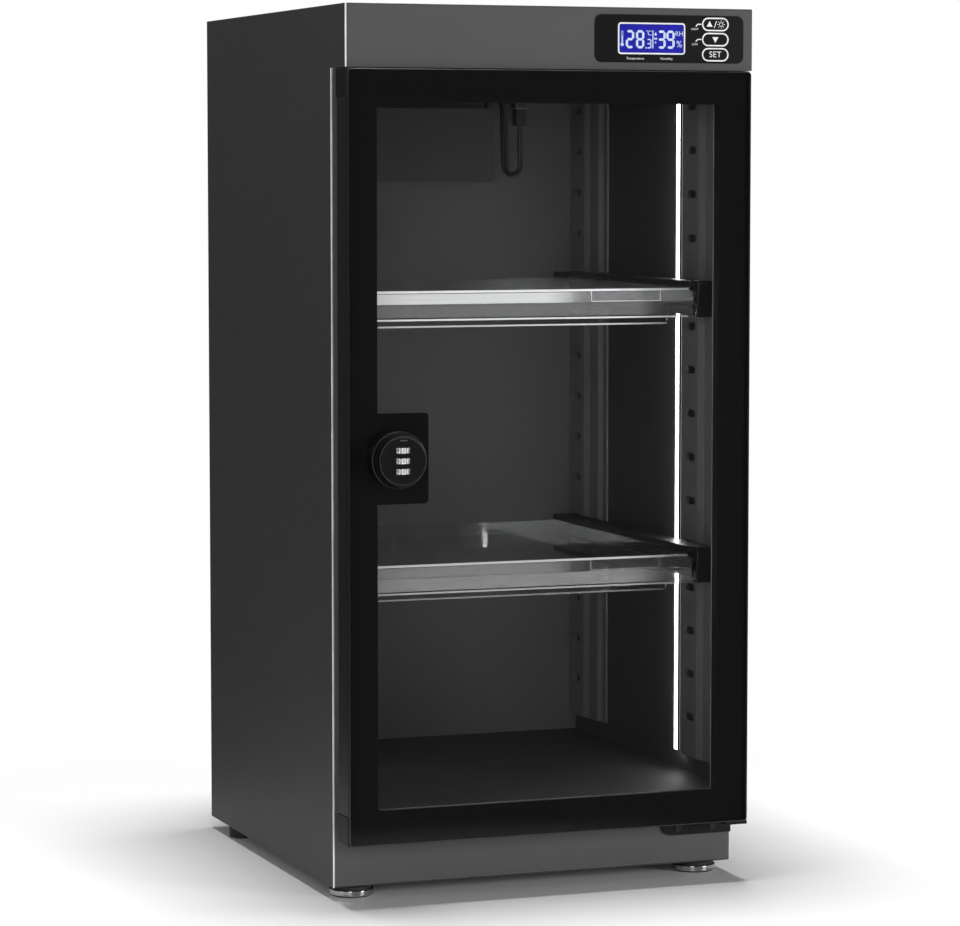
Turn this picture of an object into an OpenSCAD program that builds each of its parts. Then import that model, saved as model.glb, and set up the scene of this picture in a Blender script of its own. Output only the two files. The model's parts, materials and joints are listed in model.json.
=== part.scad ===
// Camera dry cabinet: sheet-metal casing, glass door with number lock, sliding trays, header display.
// Inside the modules x = 0 is the middle, y = 0 the front edge of the casing (the door is at minus y)
// and z = 0 the underside of the casing. seated() moves everything to the middle of the footprint.

/* [Casing] */
// Width of the casing
body_w = 315; // [290:1:350]
// Depth of the casing without the header nose
body_d = 316; // [290:1:360]
// Height of the casing without the feet
body_h = 638; // [560:1:720]
// Height of the header
header_h = 45; // [44:0.5:56]
// How far the header stands out in front of the casing
header_out = 33; // [32:0.5:36]
// Thickness of the sheet metal
sheet_t = 1.2; // [1:0.1:1.5]
// Height of the front panel under the door
base_h = 36.5; // [34:0.5:44]

/* [Door] */
// Thickness of the glass
glass_t = 4; // [3:0.5:5]
// Depth of the door frame behind the glass
frame_t = 22.7; // [20:0.1:24]
// Thickness of the seal round the door
seal_t = 11.2; // [10:0.1:12]
// Radius of the lock knob
knob_r = 20.5; // [19:0.5:23]

/* [Trays] */
// Distance between two slots of a rail
slot_pitch = 33.4; // [30:0.1:36]
// Slot that carries the upper tray, counted from the top one as 0
upper_tray_slot = 4; // [3:1:5]
// Slot that carries the lower tray
lower_tray_slot = 10; // [8:1:11]
// Height of the tray walls over the tray floor
tray_wall_h = 10.3; // [8:0.1:12]

/* [Feet] */
// Height of the feet
foot_h = 9.5; // [8:0.5:14]
// Radius of the chrome ring of a front foot
foot_ring_r = 16.3; // [14:0.1:18]

/* [Hidden] */
$fn = 48;

// Overrun of every cut, fits and gaps
cut = 1;
run_fit = 0.06;
snug = 0.05;
gap = 0.3;

// Casing
half_w = body_w / 2;
wall_x = half_w - sheet_t;
header_z = body_h - header_h;
jamb_w = 16.5;
open_x = half_w - jamb_w;
lintel_h = 17;
floor_rise = 19.5;
floor_z = base_h + floor_rise;
rear_void = 7;
lining_y = body_d - rear_void;

// Door
cap_proud = 0.6;
door_top_gap = 1;
door_right_gap = 2.9;
door_x0 = -half_w + cap_proud;
door_x1 = half_w - door_right_gap;
door_z0 = base_h;
door_z1 = header_z - door_top_gap;
door_back = -(seal_t + gap);
print_t = 0.3;
print_y = door_back - frame_t;
glass_back = print_y - print_t;
door_front = glass_back - glass_t;
glass_corner_r = 2.5;
door_rail_h = 16;
cap_w = 20;
cap_h = 21;
border_left = 21.9;
border_right = 24.4;
border_top = 23.8;
border_bottom = 25;
window_r = 3;
seal_out = 9.3;
seal_inset = 1;
seal_w = 10;
seal_x1 = open_x + seal_out;
seal_z0 = door_z0 + door_rail_h - seal_inset - seal_w;
seal_z1 = door_z1 - door_rail_h + seal_inset + seal_w;
magnet_w = 5;
magnet_t = 3;
magnet_skin = 2.7;

// Hinge
hinge_inset = 8;
hinge_x = half_w - hinge_inset;
pin_r = 3;
header_back = sheet_t - header_out;
hinge_y = max((door_back + door_front) / 2, header_back + gap + pin_r);
pin_reach = 10.5;
bush_wall = 1.2;
bush_h = 12;
bush_r = pin_r + run_fit + bush_wall;
plate_t = 2.5;
tongue_gap = 0.4;
lower_plate_w = 56;
lower_plate_h = 13.5;
lower_plate_r = 7;
tongue_w = 18;
tongue_reach = 7;
upper_plate_w = 20;
upper_plate_reach = 5.5;
upper_plate_y0 = max(hinge_y - upper_plate_reach, header_back + gap);
lower_plate_z1 = door_z0 - cap_proud - tongue_gap;
screw_r = 2.6;
screw_head_h = 1.2;
screw_shank_r = 1.5;
lower_screw_step = 14;
lower_screw_inset = 29.5;
lower_screw_x = half_w - lower_screw_inset;
lower_screw_drop = 8;
upper_screw_step = 5;
upper_screw_back = 5.5;

// Lock
lock_left = 34.4;
lock_x = -half_w + lock_left;
lock_z = (door_z0 + door_z1) / 2 + cap_proud;
tab_x1 = 61.1;
tab_half_h = 32.6;
case_margin = 1;
case_depth = 18;
case_wall = 2;
case_boss_r = 7;
shaft_r = 4;
shaft_hole_r = 4.5;
neck_r = 3;
knob_straight = 11.5;
knob_l = 19;
knob_front_r = 17.4;
knob_edge = 0.8;
knob_y0 = door_front - gap;
knob_front = door_front - knob_l;
face_lift = 1.2;
face_t = 1.9;
face_r = 16.3;
face_back = knob_front - face_lift + face_t;
face_front = knob_front - face_lift;
wheel_r = 6.7;
wheel_t = 4.2;
wheel_pitch = 7.5;
wheel_proud = 0.3;
wheel_y = face_front - wheel_proud + wheel_r;
wheel_hole_w = 10.9;
wheel_room = 0.6;
axle_r = 1.5;
axle_l = 30;
shaft_sink = 6;
shaft_y0 = knob_y0 - shaft_sink;
cam_room = 1.3;
cam_y = sheet_t + cam_room;
cam_t = 2.5;
cam_w = 10;
cam_reach = 24;
cam_screw_r = 4.5;
cam_screw_h = 2;
cam_thread_r = 1.5;
cam_thread_l = 8;

// Header display
bezel_right = 7.4;
bezel_w = 117.6;
bezel_h = 34.7;
bezel_r = 5.5;
bezel_t = 0.8;
bezel_lip = 1;
boss_t = 2.2;
bezel_x1 = half_w - bezel_right;
bezel_x0 = bezel_x1 - bezel_w;
bezel_zc = header_z + header_h / 2;
bezel_z0 = bezel_zc - bezel_h / 2;
bezel_front = -header_out - bezel_t;
screen_x = 18.4;
screen_z = 7.1;
screen_w = 52.1;
screen_h = 20.8;
screen_r = 2;
screen_sink = 0.4;
screen_t = 6.2;
board_margin = 5;
board_t = 1.6;
board_y = bezel_front + screen_sink + screen_t;
button_w = 21.4;
button_h = 9.9;
button_pitch = 11;
button_right = 22.7;
button_fit = 0.2;
button_proud = 0.3;
button_t = 3.9;
ear_w = 24;
ear_h = 8.4;
ear_t = 1.2;
switch_w = 6;
switch_h = 1;
button_xc = bezel_x1 - button_right;

// Rails, runners and trays
rail_depth = 6.3;
rail_x = wall_x - rail_depth;
rail_step = (rail_depth - sheet_t) / 2;
rail_foot_gap = 14;
rail_z0 = floor_z + rail_foot_gap;
rail_top_gap = 8;
rail_z1 = header_z - rail_top_gap;
web_l = 30;
fold_one_l = 6.6;
face_one_l = 17.5;
fold_two_l = 4.6;
face_two_l = 8;
front_web_y = 47.2;
rear_web_inset = 32;
rear_web_y = lining_y - gap - rear_web_inset;
slot_l = 16.5;
slot_h = 6;
front_slot_shift = 13;
rear_slot_shift = 16;
top_slot_drop = 24.2;
top_slot_z = header_z - top_slot_drop;
slot_count = 1 + floor((top_slot_z - rail_z0 - slot_h) / slot_pitch);
hook_l = 14;
hook_h = 4.6;
hook_reach = 2.6;
hook_rise = 15;
tray_side_gap = 5;
tray_x = open_x - tray_side_gap;
tray_y0 = 18;
tray_rear_gap = 9;
tray_y1 = lining_y - tray_rear_gap;
tray_t = 2;
apron_drop = 9.8;
apron_top_r = 9;
apron_low_r = 4;
apron_t = 2.2;
grip_x_inset = 21;
grip_setback = 6;
grip_drop = 14.7;
runner_clear = 0.4;
runner_grip = 3.5;
runner_t = 3;
runner_y0 = 16;
runner_cap_l = 8;
runner_rise = 5;
ledge_setback = 3;

// Light bar
light_gap = 5.4;
light_w = 6.3;
light_wall = 1;
light_lip = 2;
light_foot_gap = 16;
light_top_gap = 18;
light_z0 = floor_z + light_foot_gap;
light_z1 = header_z - light_top_gap;
light_y0 = front_web_y + web_l + light_gap;

// Humidity unit, its cable and the rear
unit_x = 75.5;
unit_drop = 23;
unit_h = 58.5;
unit_t = 24;
unit_wall = 2.2;
unit_r = 6;
unit_z1 = header_z - unit_drop;
unit_bump_r = 3;
unit_bump_l = 1.5;
unit_bump_step = 12;
cable_r = 1.75;
plug_x = 99;
plug_y_inset = 17;
plug_w = 9;
plug_h = 14;
plug_drop = 37;
plug_z0 = header_z - plug_drop;
socket_w = 11;
cover_x = 60;
cover_h = 130;
cover_drop = 40;
cover_t = 6;
cover_wall = 1.5;
vent_l = 70;
vent_h = 3;
vent_step = 12;
vent_count = 8;
inlet_inset = 37.5;
inlet_x = half_w - inlet_inset;
inlet_z = 28;
inlet_flange_r = 7;
inlet_flange_t = 2;
inlet_barrel_r = 5;
inlet_barrel_l = 12;
inlet_bore_r = 3.1;
inlet_bore_l = 9.5;
inlet_pin_r = 1.05;

// Feet
foot_inset = 20.5;
foot_x = half_w - foot_inset;
foot_y = 20;
foot_body_r = 15;
foot_ring_h = 4;
foot_ring_lift = 1.2;
foot_top_gap = 1.5;
stud_r = 4;
stud_l = 16;
nut_r = 7.5;
nut_h = 6;
rear_foot_inset = 11.5;
rear_foot_x = half_w - rear_foot_inset;
rear_foot_back = 47;
rear_foot_y = body_d - rear_foot_back;
rear_foot_r = 10;

// Middle of the footprint, from the number wheels to the rear cover
mid_y = (face_front - wheel_proud + body_d + cover_t) / 2;

module seated() {
  translate([0, -mid_y, foot_h]) children();
}

// Box given by its edges
module slab(x0, x1, y0, y1, z0, z1) {
  translate([x0, y0, z0]) cube([x1 - x0, y1 - y0, z1 - z0]);
}

// Plate drawn as seen from the front, between two depths
module front_plate(y0, y1) {
  translate([0, y1, 0]) rotate([90, 0, 0]) linear_extrude(y1 - y0) children();
}

// Round bar along the depth
module bar_y(x, y0, y1, z, r) {
  translate([x, y0, z]) rotate([-90, 0, 0]) cylinder(h = y1 - y0, r = r);
}

module round_rect(x0, x1, z0, z1, r) {
  translate([x0 + r, z0]) square([x1 - x0 - 2 * r, z1 - z0]);
  translate([x0, z0 + r]) square([x1 - x0, z1 - z0 - 2 * r]);
  for (x = [x0 + r, x1 - r], z = [z0 + r, z1 - r]) translate([x, z]) circle(r);
}

module pill(x, z, w, h) {
  translate([x - (w - h) / 2, z - h / 2]) square([w - h, h]);
  for (side = [-1, 1]) translate([x + side * (w - h) / 2, z]) circle(h / 2);
}

module both_sides() {
  children();
  mirror([1, 0, 0]) children();
}

// Casing sheets
module side_panel() {
  slab(wall_x, half_w, 0, body_d, 0, body_h);
  slab(wall_x, half_w, -header_out, cut, header_z, body_h);
}

module left_side_panel() {
  color("dimgray") mirror([1, 0, 0]) side_panel();
}

module right_side_panel() {
  color("dimgray") side_panel();
}

module top_panel() {
  color("dimgray") slab(-wall_x, wall_x, -header_out, body_d, body_h - sheet_t, body_h);
}

module bottom_panel() {
  color("dimgray") difference() {
    slab(-wall_x, wall_x, 0, body_d, 0, sheet_t);
    for (x = [-foot_x, foot_x]) translate([x, foot_y, -cut])
      cylinder(h = sheet_t + 2 * cut, r = stud_r + gap);
  }
}

module back_panel() {
  color("dimgray") difference() {
    slab(-wall_x, wall_x, body_d - sheet_t, body_d, sheet_t, body_h - sheet_t);
    bar_y(inlet_x, body_d - sheet_t - cut, body_d + cut, inlet_z, inlet_barrel_r + snug);
  }
}

module base_front_panel() {
  color("gray") slab(-wall_x, wall_x, 0, sheet_t, sheet_t, floor_z);
}

module header_panel() {
  color("gray") difference() {
    union() {
      slab(-wall_x, wall_x, -header_out, header_back, header_z, body_h - sheet_t);
      slab(-wall_x, wall_x, -header_out, 0, header_z, header_z + sheet_t);
    }
    front_plate(-header_out - cut, header_back + cut)
      boss_outline(snug);
    translate([hinge_x, hinge_y, header_z - cut]) cylinder(h = sheet_t + 2 * cut, r = pin_r + gap);
  }
}

module left_front_jamb() {
  color("gray") slab(-wall_x, -open_x, 0, sheet_t, floor_z, header_z);
}

module right_front_jamb() {
  color("gray") slab(open_x, wall_x, 0, sheet_t, floor_z, header_z);
}

module top_front_jamb() {
  color("gray") slab(-open_x, open_x, 0, sheet_t, header_z - lintel_h, header_z);
}

module inner_floor() {
  color("gray") slab(-wall_x, wall_x, sheet_t, lining_y, floor_z - sheet_t, floor_z);
}

module inner_ceiling() {
  color("gray") slab(-wall_x, wall_x, 0, lining_y, header_z, header_z + sheet_t);
}

module inner_back() {
  color("gray") slab(-wall_x, wall_x, lining_y, lining_y + sheet_t, floor_z - sheet_t, header_z + sheet_t);
}

// Stepped strip with a slotted web, folded back to the side panel behind the web
module rail_outline(web_y) {
  fold_one_y = web_y - fold_one_l;
  face_one_y = fold_one_y - face_one_l;
  fold_two_y = face_one_y - fold_two_l;
  face_two_y = fold_two_y - face_two_l;
  web_end = web_y + web_l;
  deep_x = rail_x + 2 * rail_step;
  mid_x = rail_x + rail_step;
  polygon([
    [deep_x, face_two_y], [deep_x, fold_two_y], [mid_x, face_one_y], [mid_x, fold_one_y],
    [rail_x, web_y], [rail_x, web_end], [rail_x + sheet_t, web_end], [rail_x + sheet_t, web_y],
    [mid_x + sheet_t, fold_one_y], [mid_x + sheet_t, face_one_y], [deep_x + sheet_t, fold_two_y],
    [deep_x + sheet_t, face_two_y]]);
  translate([rail_x, web_end - sheet_t]) square([rail_depth, sheet_t]);
}

module rail(web_y, slot_y) {
  difference() {
    translate([0, 0, rail_z0]) linear_extrude(rail_z1 - rail_z0) rail_outline(web_y);
    for (i = [0 : slot_count - 1])
      translate([rail_x - cut, slot_y, top_slot_z - i * slot_pitch]) rotate([90, 0, 90])
        linear_extrude(sheet_t + 2 * cut) pill(0, 0, slot_l, slot_h);
  }
}

front_slot_y = front_web_y + front_slot_shift;
rear_slot_y = rear_web_y + rear_slot_shift;

module side_rails() {
  rail(front_web_y, front_slot_y);
  rail(rear_web_y, rear_slot_y);
}

module left_rails() {
  color("silver") mirror([1, 0, 0]) side_rails();
}

module right_rails() {
  color("silver") side_rails();
}

// Trays and what carries them
function tray_z(slot) = top_slot_z - slot * slot_pitch - hook_rise;

module apron_outline(z) {
  low = z - apron_drop;
  high = z + tray_t + tray_wall_h;
  translate([-tray_x, low + apron_low_r]) square([2 * tray_x, high - low - apron_low_r - apron_top_r]);
  translate([-tray_x + apron_low_r, low]) square([2 * (tray_x - apron_low_r), apron_low_r]);
  translate([-tray_x + apron_top_r, high - apron_top_r]) square([2 * (tray_x - apron_top_r), apron_top_r]);
  for (side = [-1, 1]) {
    translate([side * (tray_x - apron_low_r), low + apron_low_r]) circle(apron_low_r);
    translate([side * (tray_x - apron_top_r), high - apron_top_r]) circle(apron_top_r);
  }
}

module grip_outline(z) {
  half = tray_x - grip_x_inset;
  low = z - grip_drop;
  translate([-half, low + apron_low_r]) square([2 * half, grip_drop - apron_low_r]);
  translate([-half + apron_low_r, low]) square([2 * (half - apron_low_r), apron_low_r]);
  for (side = [-1, 1]) translate([side * (half - apron_low_r), low + apron_low_r]) circle(apron_low_r);
}

module tray(z) {
  wall_top = z + tray_t + tray_wall_h;
  front_plate(tray_y0, tray_y0 + apron_t) apron_outline(z);
  slab(-tray_x, tray_x, tray_y0 + apron_t, tray_y1, z, z + tray_t);
  for (side = [0, 1]) mirror([side, 0, 0])
    slab(tray_x - tray_t, tray_x, tray_y0 + apron_t, tray_y1, z, wall_top - apron_top_r + tray_t);
  for (side = [0, 1]) mirror([side, 0, 0])
    slab(tray_x - tray_t, tray_x, tray_y0 + apron_top_r, tray_y1, z, wall_top);
  slab(-tray_x, tray_x, tray_y1 - tray_t, tray_y1, z, wall_top);
  front_plate(tray_y0 + grip_setback, tray_y0 + grip_setback + apron_t) grip_outline(z);
}

module upper_tray() {
  color("lightcyan", 0.5) tray(tray_z(upper_tray_slot));
}

module lower_tray() {
  color("lightcyan", 0.5) tray(tray_z(lower_tray_slot));
}

module runner(z) {
  wall_top = z + tray_t + tray_wall_h;
  low = z - apron_drop;
  high = wall_top + runner_rise;
  side_x = tray_x + runner_clear;
  ledge_x = tray_x - runner_grip;
  ledge_y = tray_y0 + ledge_setback;
  rear_y = tray_y1 + runner_clear;
  slab(rail_x - runner_t, rail_x, runner_y0, rear_y, low, high);
  slab(side_x, rail_x, runner_y0, runner_y0 + runner_cap_l, low, high);
  slab(ledge_x, rail_x, ledge_y, rear_y, z - gap - runner_t, z - gap);
  slab(ledge_x, rail_x, runner_y0 + runner_cap_l, rear_y, wall_top + runner_clear, high);
  for (y = [front_slot_y, rear_slot_y])
    slab(rail_x - runner_t, rail_x + hook_reach, y - hook_l / 2, y + hook_l / 2,
      z + hook_rise - hook_h / 2, z + hook_rise + hook_h / 2);
}

module tray_runners() {
  color("black") both_sides() {
    runner(tray_z(upper_tray_slot));
    runner(tray_z(lower_tray_slot));
  }
}

// Light bar
module light_channel() {
  color("silver") difference() {
    slab(rail_x + light_lip, wall_x, light_y0, light_y0 + light_w, light_z0, light_z1);
    slab(rail_x, wall_x - light_wall, light_y0 + light_wall, light_y0 + light_w - light_wall,
      light_z0 - cut, light_z1 + cut);
  }
}

module light_diffuser() {
  color("white") {
    slab(rail_x, rail_x + light_lip, light_y0, light_y0 + light_w, light_z0, light_z1);
    slab(rail_x, rail_x + 2 * light_lip, light_y0 + light_wall + snug,
      light_y0 + light_w - light_wall - snug, light_z0, light_z1);
  }
}

// Header display
module boss_outline(fit) {
  round_rect(bezel_x0 + bezel_lip - fit, bezel_x1 - bezel_lip + fit, bezel_z0 + bezel_lip - fit,
    bezel_z0 + bezel_h - bezel_lip + fit, bezel_r - bezel_lip);
}

function button_z(i) = bezel_zc + (1 - i) * button_pitch;

module display_bezel() {
  color("black") difference() {
    union() {
      front_plate(bezel_front, -header_out)
        round_rect(bezel_x0, bezel_x1, bezel_z0, bezel_z0 + bezel_h, bezel_r);
      front_plate(bezel_front + bezel_t / 2, boss_t - header_out) boss_outline(0);
    }
    front_plate(bezel_front - cut, cut + boss_t - header_out) {
      round_rect(bezel_x0 + screen_x - gap, bezel_x0 + screen_x + screen_w + gap,
        bezel_z0 + screen_z - gap, bezel_z0 + screen_z + screen_h + gap, screen_r);
      for (i = [0 : 2])
        pill(button_xc, button_z(i), button_w + 2 * button_fit, button_h + 2 * button_fit);
    }
  }
}

module display_screen() {
  color("navy") front_plate(bezel_front + screen_sink, board_y)
    round_rect(bezel_x0 + screen_x, bezel_x0 + screen_x + screen_w,
      bezel_z0 + screen_z, bezel_z0 + screen_z + screen_h, screen_r);
}

module control_board() {
  color("darkgreen") {
    slab(bezel_x0 + board_margin, bezel_x1 - board_margin, board_y, board_y + board_t,
      bezel_z0, bezel_z0 + bezel_h);
    for (i = [0 : 2])
      slab(button_xc - switch_w / 2, button_xc + switch_w / 2, board_y - switch_h, board_y + board_t,
        button_z(i) - switch_w / 2, button_z(i) + switch_w / 2);
  }
}

module button(i) {
  front = bezel_front - button_proud;
  color("dimgray") {
    front_plate(front, front + button_t) pill(button_xc, button_z(i), button_w, button_h);
    slab(button_xc - ear_w / 2, button_xc + ear_w / 2, front + button_t - ear_t / 2,
      front + button_t + ear_t / 2, button_z(i) - ear_h / 2, button_z(i) + ear_h / 2);
  }
}

module up_button() {
  button(0);
}

module down_button() {
  button(1);
}

module set_button() {
  button(2);
}

// Humidity unit and its cable
module humidity_unit() {
  color("dimgray") {
    difference() {
      front_plate(lining_y - unit_t, lining_y)
        round_rect(-unit_x, unit_x, unit_z1 - unit_h, unit_z1, unit_r);
      front_plate(lining_y - unit_t + unit_wall, lining_y + cut)
        round_rect(-unit_x + unit_wall, unit_x - unit_wall, unit_z1 - unit_h + unit_wall,
          unit_z1 - unit_wall, unit_r - unit_wall);
    }
    for (i = [-1 : 1])
      translate([unit_x - unit_wall, lining_y - unit_t / 2, unit_z1 - unit_h / 2 + i * unit_bump_step])
        rotate([0, 90, 0]) cylinder(h = unit_wall + unit_bump_l, r = unit_bump_r);
  }
}

plug_y = lining_y - plug_y_inset;
cable_sides = 8;
cable_steps = 6;
cable_top = unit_z1;
// Hand-chosen route: up out of the unit, over to the right, down into a loop and up into the plug
cable_route = [
  [71, plug_y + 3, cable_top], [71, plug_y + 3, cable_top + 3], [73, plug_y + 3, cable_top + 6],
  [77, plug_y + 2, cable_top + 7], [81, plug_y + 2, cable_top + 3], [84, plug_y + 1, cable_top - 8],
  [86, plug_y + 1, cable_top - 24], [87, plug_y, cable_top - 40], [89, plug_y, cable_top - 49],
  [93, plug_y, cable_top - 53], [97, plug_y, cable_top - 49], [99, plug_y, cable_top - 38],
  [plug_x, plug_y, cable_top - 24], [plug_x, plug_y, plug_z0]];

function curve_at(p, i, t) =
  let (a = p[max(i - 1, 0)], b = p[i], c = p[i + 1], d = p[min(i + 2, len(p) - 1)])
  0.5 * (2 * b + (c - a) * t + (2 * a - 5 * b + 4 * c - d) * t * t + (3 * b - a - 3 * c + d) * t * t * t);

function unit_vector(v) = v / norm(v);

module tube(route, r, sides, steps) {
  last = len(route) - 1;
  path = [for (i = [0 : last - 1], s = [0 : steps - 1]) curve_at(route, i, s / steps), route[last]];
  count = len(path);
  heading = [for (k = [0 : count - 1])
    k == 0 || k == count - 1 ? [0, 0, 1] : unit_vector(path[k + 1] - path[k - 1])];
  rings = [for (k = [0 : count - 1])
    let (across = [0, 1, 0], side = unit_vector(cross(across, heading[k])), over = cross(heading[k], side))
    for (j = [0 : sides - 1]) path[k] + r * (cos(360 * j / sides) * side + sin(360 * j / sides) * over)];
  walls = [for (k = [0 : count - 2], j = [0 : sides - 1])
    let (a = k * sides + j, b = k * sides + (j + 1) % sides) [a, b, b + sides, a + sides]];
  polyhedron(rings, concat(walls,
    [[for (j = [sides - 1 : -1 : 0]) j]], [[for (j = [0 : sides - 1]) (count - 1) * sides + j]]));
}

module sensor_cable() {
  color("gray") tube(cable_route, cable_r, cable_sides, cable_steps);
}

module cable_plug() {
  color("black") slab(plug_x - plug_w / 2, plug_x + plug_w / 2, plug_y - plug_w / 2, plug_y + plug_w / 2,
    plug_z0, plug_z0 + plug_h);
}

module ceiling_socket() {
  color("dimgray") slab(plug_x - socket_w / 2, plug_x + socket_w / 2, plug_y - socket_w / 2,
    plug_y + socket_w / 2, plug_z0 + plug_h, header_z);
}

// Rear of the casing
module rear_cover() {
  top = header_z - cover_drop;
  color("dimgray") difference() {
    slab(-cover_x, cover_x, body_d, body_d + cover_t, top - cover_h, top);
    slab(-cover_x + cover_wall, cover_x - cover_wall, body_d - cut, body_d + cover_t - cover_wall,
      top - cover_h + cover_wall, top - cover_wall);
    for (i = [0 : vent_count - 1])
      front_plate(body_d, body_d + cover_t + cut)
        pill(0, top - cover_h / 2 + (i - (vent_count - 1) / 2) * vent_step, vent_l, vent_h);
  }
}

module power_inlet() {
  flange_y = body_d + inlet_flange_t;
  flange_mid = body_d + inlet_flange_t / 2;
  bore_end = flange_y - inlet_bore_l;
  color("black") {
    difference() {
      union() {
        bar_y(inlet_x, body_d, flange_y, inlet_z, inlet_flange_r);
        bar_y(inlet_x, body_d - inlet_barrel_l, flange_mid, inlet_z, inlet_barrel_r);
      }
      bar_y(inlet_x, bore_end, flange_y + cut, inlet_z, inlet_bore_r);
    }
    bar_y(inlet_x, flange_mid - inlet_bore_l, flange_mid, inlet_z, inlet_pin_r);
  }
}

// Hinge parts
module lower_screw_spots() {
  for (side = [-1, 1])
    translate([lower_screw_x + side * lower_screw_step, 0, lower_plate_z1 - lower_screw_drop]) children();
}

module lower_hinge_bracket() {
  x0 = half_w - lower_plate_w;
  z0 = lower_plate_z1 - lower_plate_h;
  color("black") difference() {
    union() {
      front_plate(-plate_t, 0) {
        translate([x0 + lower_plate_r, z0]) square([lower_plate_w - lower_plate_r, lower_plate_h]);
        translate([x0, z0 + lower_plate_r]) square([lower_plate_w, lower_plate_h - lower_plate_r]);
        translate([x0 + lower_plate_r, z0 + lower_plate_r]) circle(lower_plate_r);
      }
      slab(half_w - tongue_w, half_w, hinge_y - tongue_reach, -plate_t / 2,
        lower_plate_z1 - plate_t, lower_plate_z1);
      translate([hinge_x, hinge_y, lower_plate_z1 - plate_t])
        cylinder(h = plate_t + tongue_gap + cap_proud + pin_reach, r = pin_r);
    }
    lower_screw_spots() bar_y(0, -plate_t - cut, cut, 0, screw_shank_r + snug);
  }
}

module upper_screw_spots() {
  for (side = [-1, 1])
    translate([hinge_x - upper_plate_w / 2 + side * upper_screw_step, hinge_y + upper_screw_back,
      header_z + sheet_t + plate_t]) children();
}

module upper_hinge_bracket() {
  z0 = header_z + sheet_t;
  color("black") difference() {
    union() {
      slab(hinge_x - upper_plate_w, hinge_x + upper_plate_reach, upper_plate_y0,
        hinge_y + upper_plate_w / 2, z0, z0 + plate_t);
      translate([hinge_x, hinge_y, door_z1 - pin_reach])
        cylinder(h = z0 + plate_t - door_z1 + pin_reach, r = pin_r);
    }
    upper_screw_spots() translate([0, 0, -plate_t - cut])
      cylinder(h = plate_t + 2 * cut, r = screw_shank_r + snug);
  }
}

module bracket_screws() {
  color("silver") {
    lower_screw_spots() {
      bar_y(0, -plate_t - screw_head_h, -plate_t, 0, screw_r);
      bar_y(0, -plate_t - screw_head_h / 2, 0, 0, screw_shank_r);
    }
    upper_screw_spots() {
      cylinder(h = screw_head_h, r = screw_r);
      translate([0, 0, -plate_t]) cylinder(h = plate_t + screw_head_h / 2, r = screw_shank_r);
    }
  }
}

// Door
module door_outline() {
  round_rect(door_x0, door_x1, door_z0, door_z1, glass_corner_r);
}

module shaft_hole() {
  translate([lock_x, lock_z]) circle(shaft_hole_r);
}

module door_glass() {
  color("lightblue", 0.3) front_plate(door_front, glass_back) difference() {
    door_outline();
    shaft_hole();
  }
}

module glass_border() {
  color("black") front_plate(glass_back, print_y) difference() {
    door_outline();
    difference() {
      round_rect(door_x0 + border_left, door_x1 - border_right, door_z0 + border_bottom,
        door_z1 - border_top, window_r);
      round_rect(door_x0 + border_left - 2 * window_r, -half_w + tab_x1,
        lock_z - tab_half_h, lock_z + tab_half_h, window_r);
    }
    shaft_hole();
  }
}

module door_stiles() {
  color("black") {
    slab(door_x0, -open_x, print_y, door_back, door_z0 + cap_h, door_z1 - cap_h);
    slab(open_x, door_x1, print_y, door_back, door_z0 + cap_h, door_z1 - cap_h);
  }
}

module door_rails() {
  color("black") {
    slab(door_x0 + cap_w, door_x1 - cap_w, print_y, door_back, door_z0, door_z0 + door_rail_h);
    slab(door_x0 + cap_w, door_x1 - cap_w, print_y, door_back, door_z1 - door_rail_h, door_z1);
  }
}

module bush_spots() {
  translate([hinge_x, hinge_y, door_z0 - cap_proud]) children();
  translate([hinge_x, hinge_y, door_z1 + cap_proud]) mirror([0, 0, 1]) children();
}

module corner_caps() {
  color("dimgray") difference() {
    for (z = [0, 1], x = [0, 1]) {
      x_in = x == 0 ? door_x0 + cap_w : door_x1 - cap_w;
      x_out = x == 0 ? door_x0 - cap_proud : door_x1 + cap_proud;
      x_leg = x == 0 ? -open_x : open_x;
      z_out = z == 0 ? door_z0 - cap_proud : door_z1 + cap_proud;
      z_in = z == 0 ? door_z0 + cap_h : door_z1 - cap_h;
      z_leg = z == 0 ? door_z0 + door_rail_h : door_z1 - door_rail_h;
      slab(min(x_in, x_out), max(x_in, x_out), print_y, door_back, min(z_out, z_leg), max(z_out, z_leg));
      slab(min(x_leg, x_out), max(x_leg, x_out), print_y, door_back, min(z_out, z_in), max(z_out, z_in));
    }
    bush_spots() translate([0, 0, -cut]) cylinder(h = bush_h + cut, r = bush_r + snug);
  }
}

module hinge_bushes() {
  color("ivory") bush_spots() difference() {
    cylinder(h = bush_h, r = bush_r);
    translate([0, 0, -cut]) cylinder(h = bush_h + 2 * cut, r = pin_r + run_fit);
  }
}

module seal_ring(inset, width) {
  difference() {
    square_between(seal_x1 - inset, seal_z0 + inset, seal_z1 - inset);
    square_between(seal_x1 - inset - width, seal_z0 + inset + width, seal_z1 - inset - width);
  }
}

module square_between(x, z0, z1) {
  translate([-x, z0]) square([2 * x, z1 - z0]);
}

magnet_inset = (seal_out - magnet_w) / 2;

module door_gasket() {
  color("black") difference() {
    front_plate(door_back, -gap) difference() {
      square_between(seal_x1, seal_z0, seal_z1);
      square_between(open_x, seal_z0 + seal_w, seal_z1 - seal_w);
    }
    front_plate(door_back - cut, -gap - magnet_skin) seal_ring(magnet_inset, magnet_w);
  }
}

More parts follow.
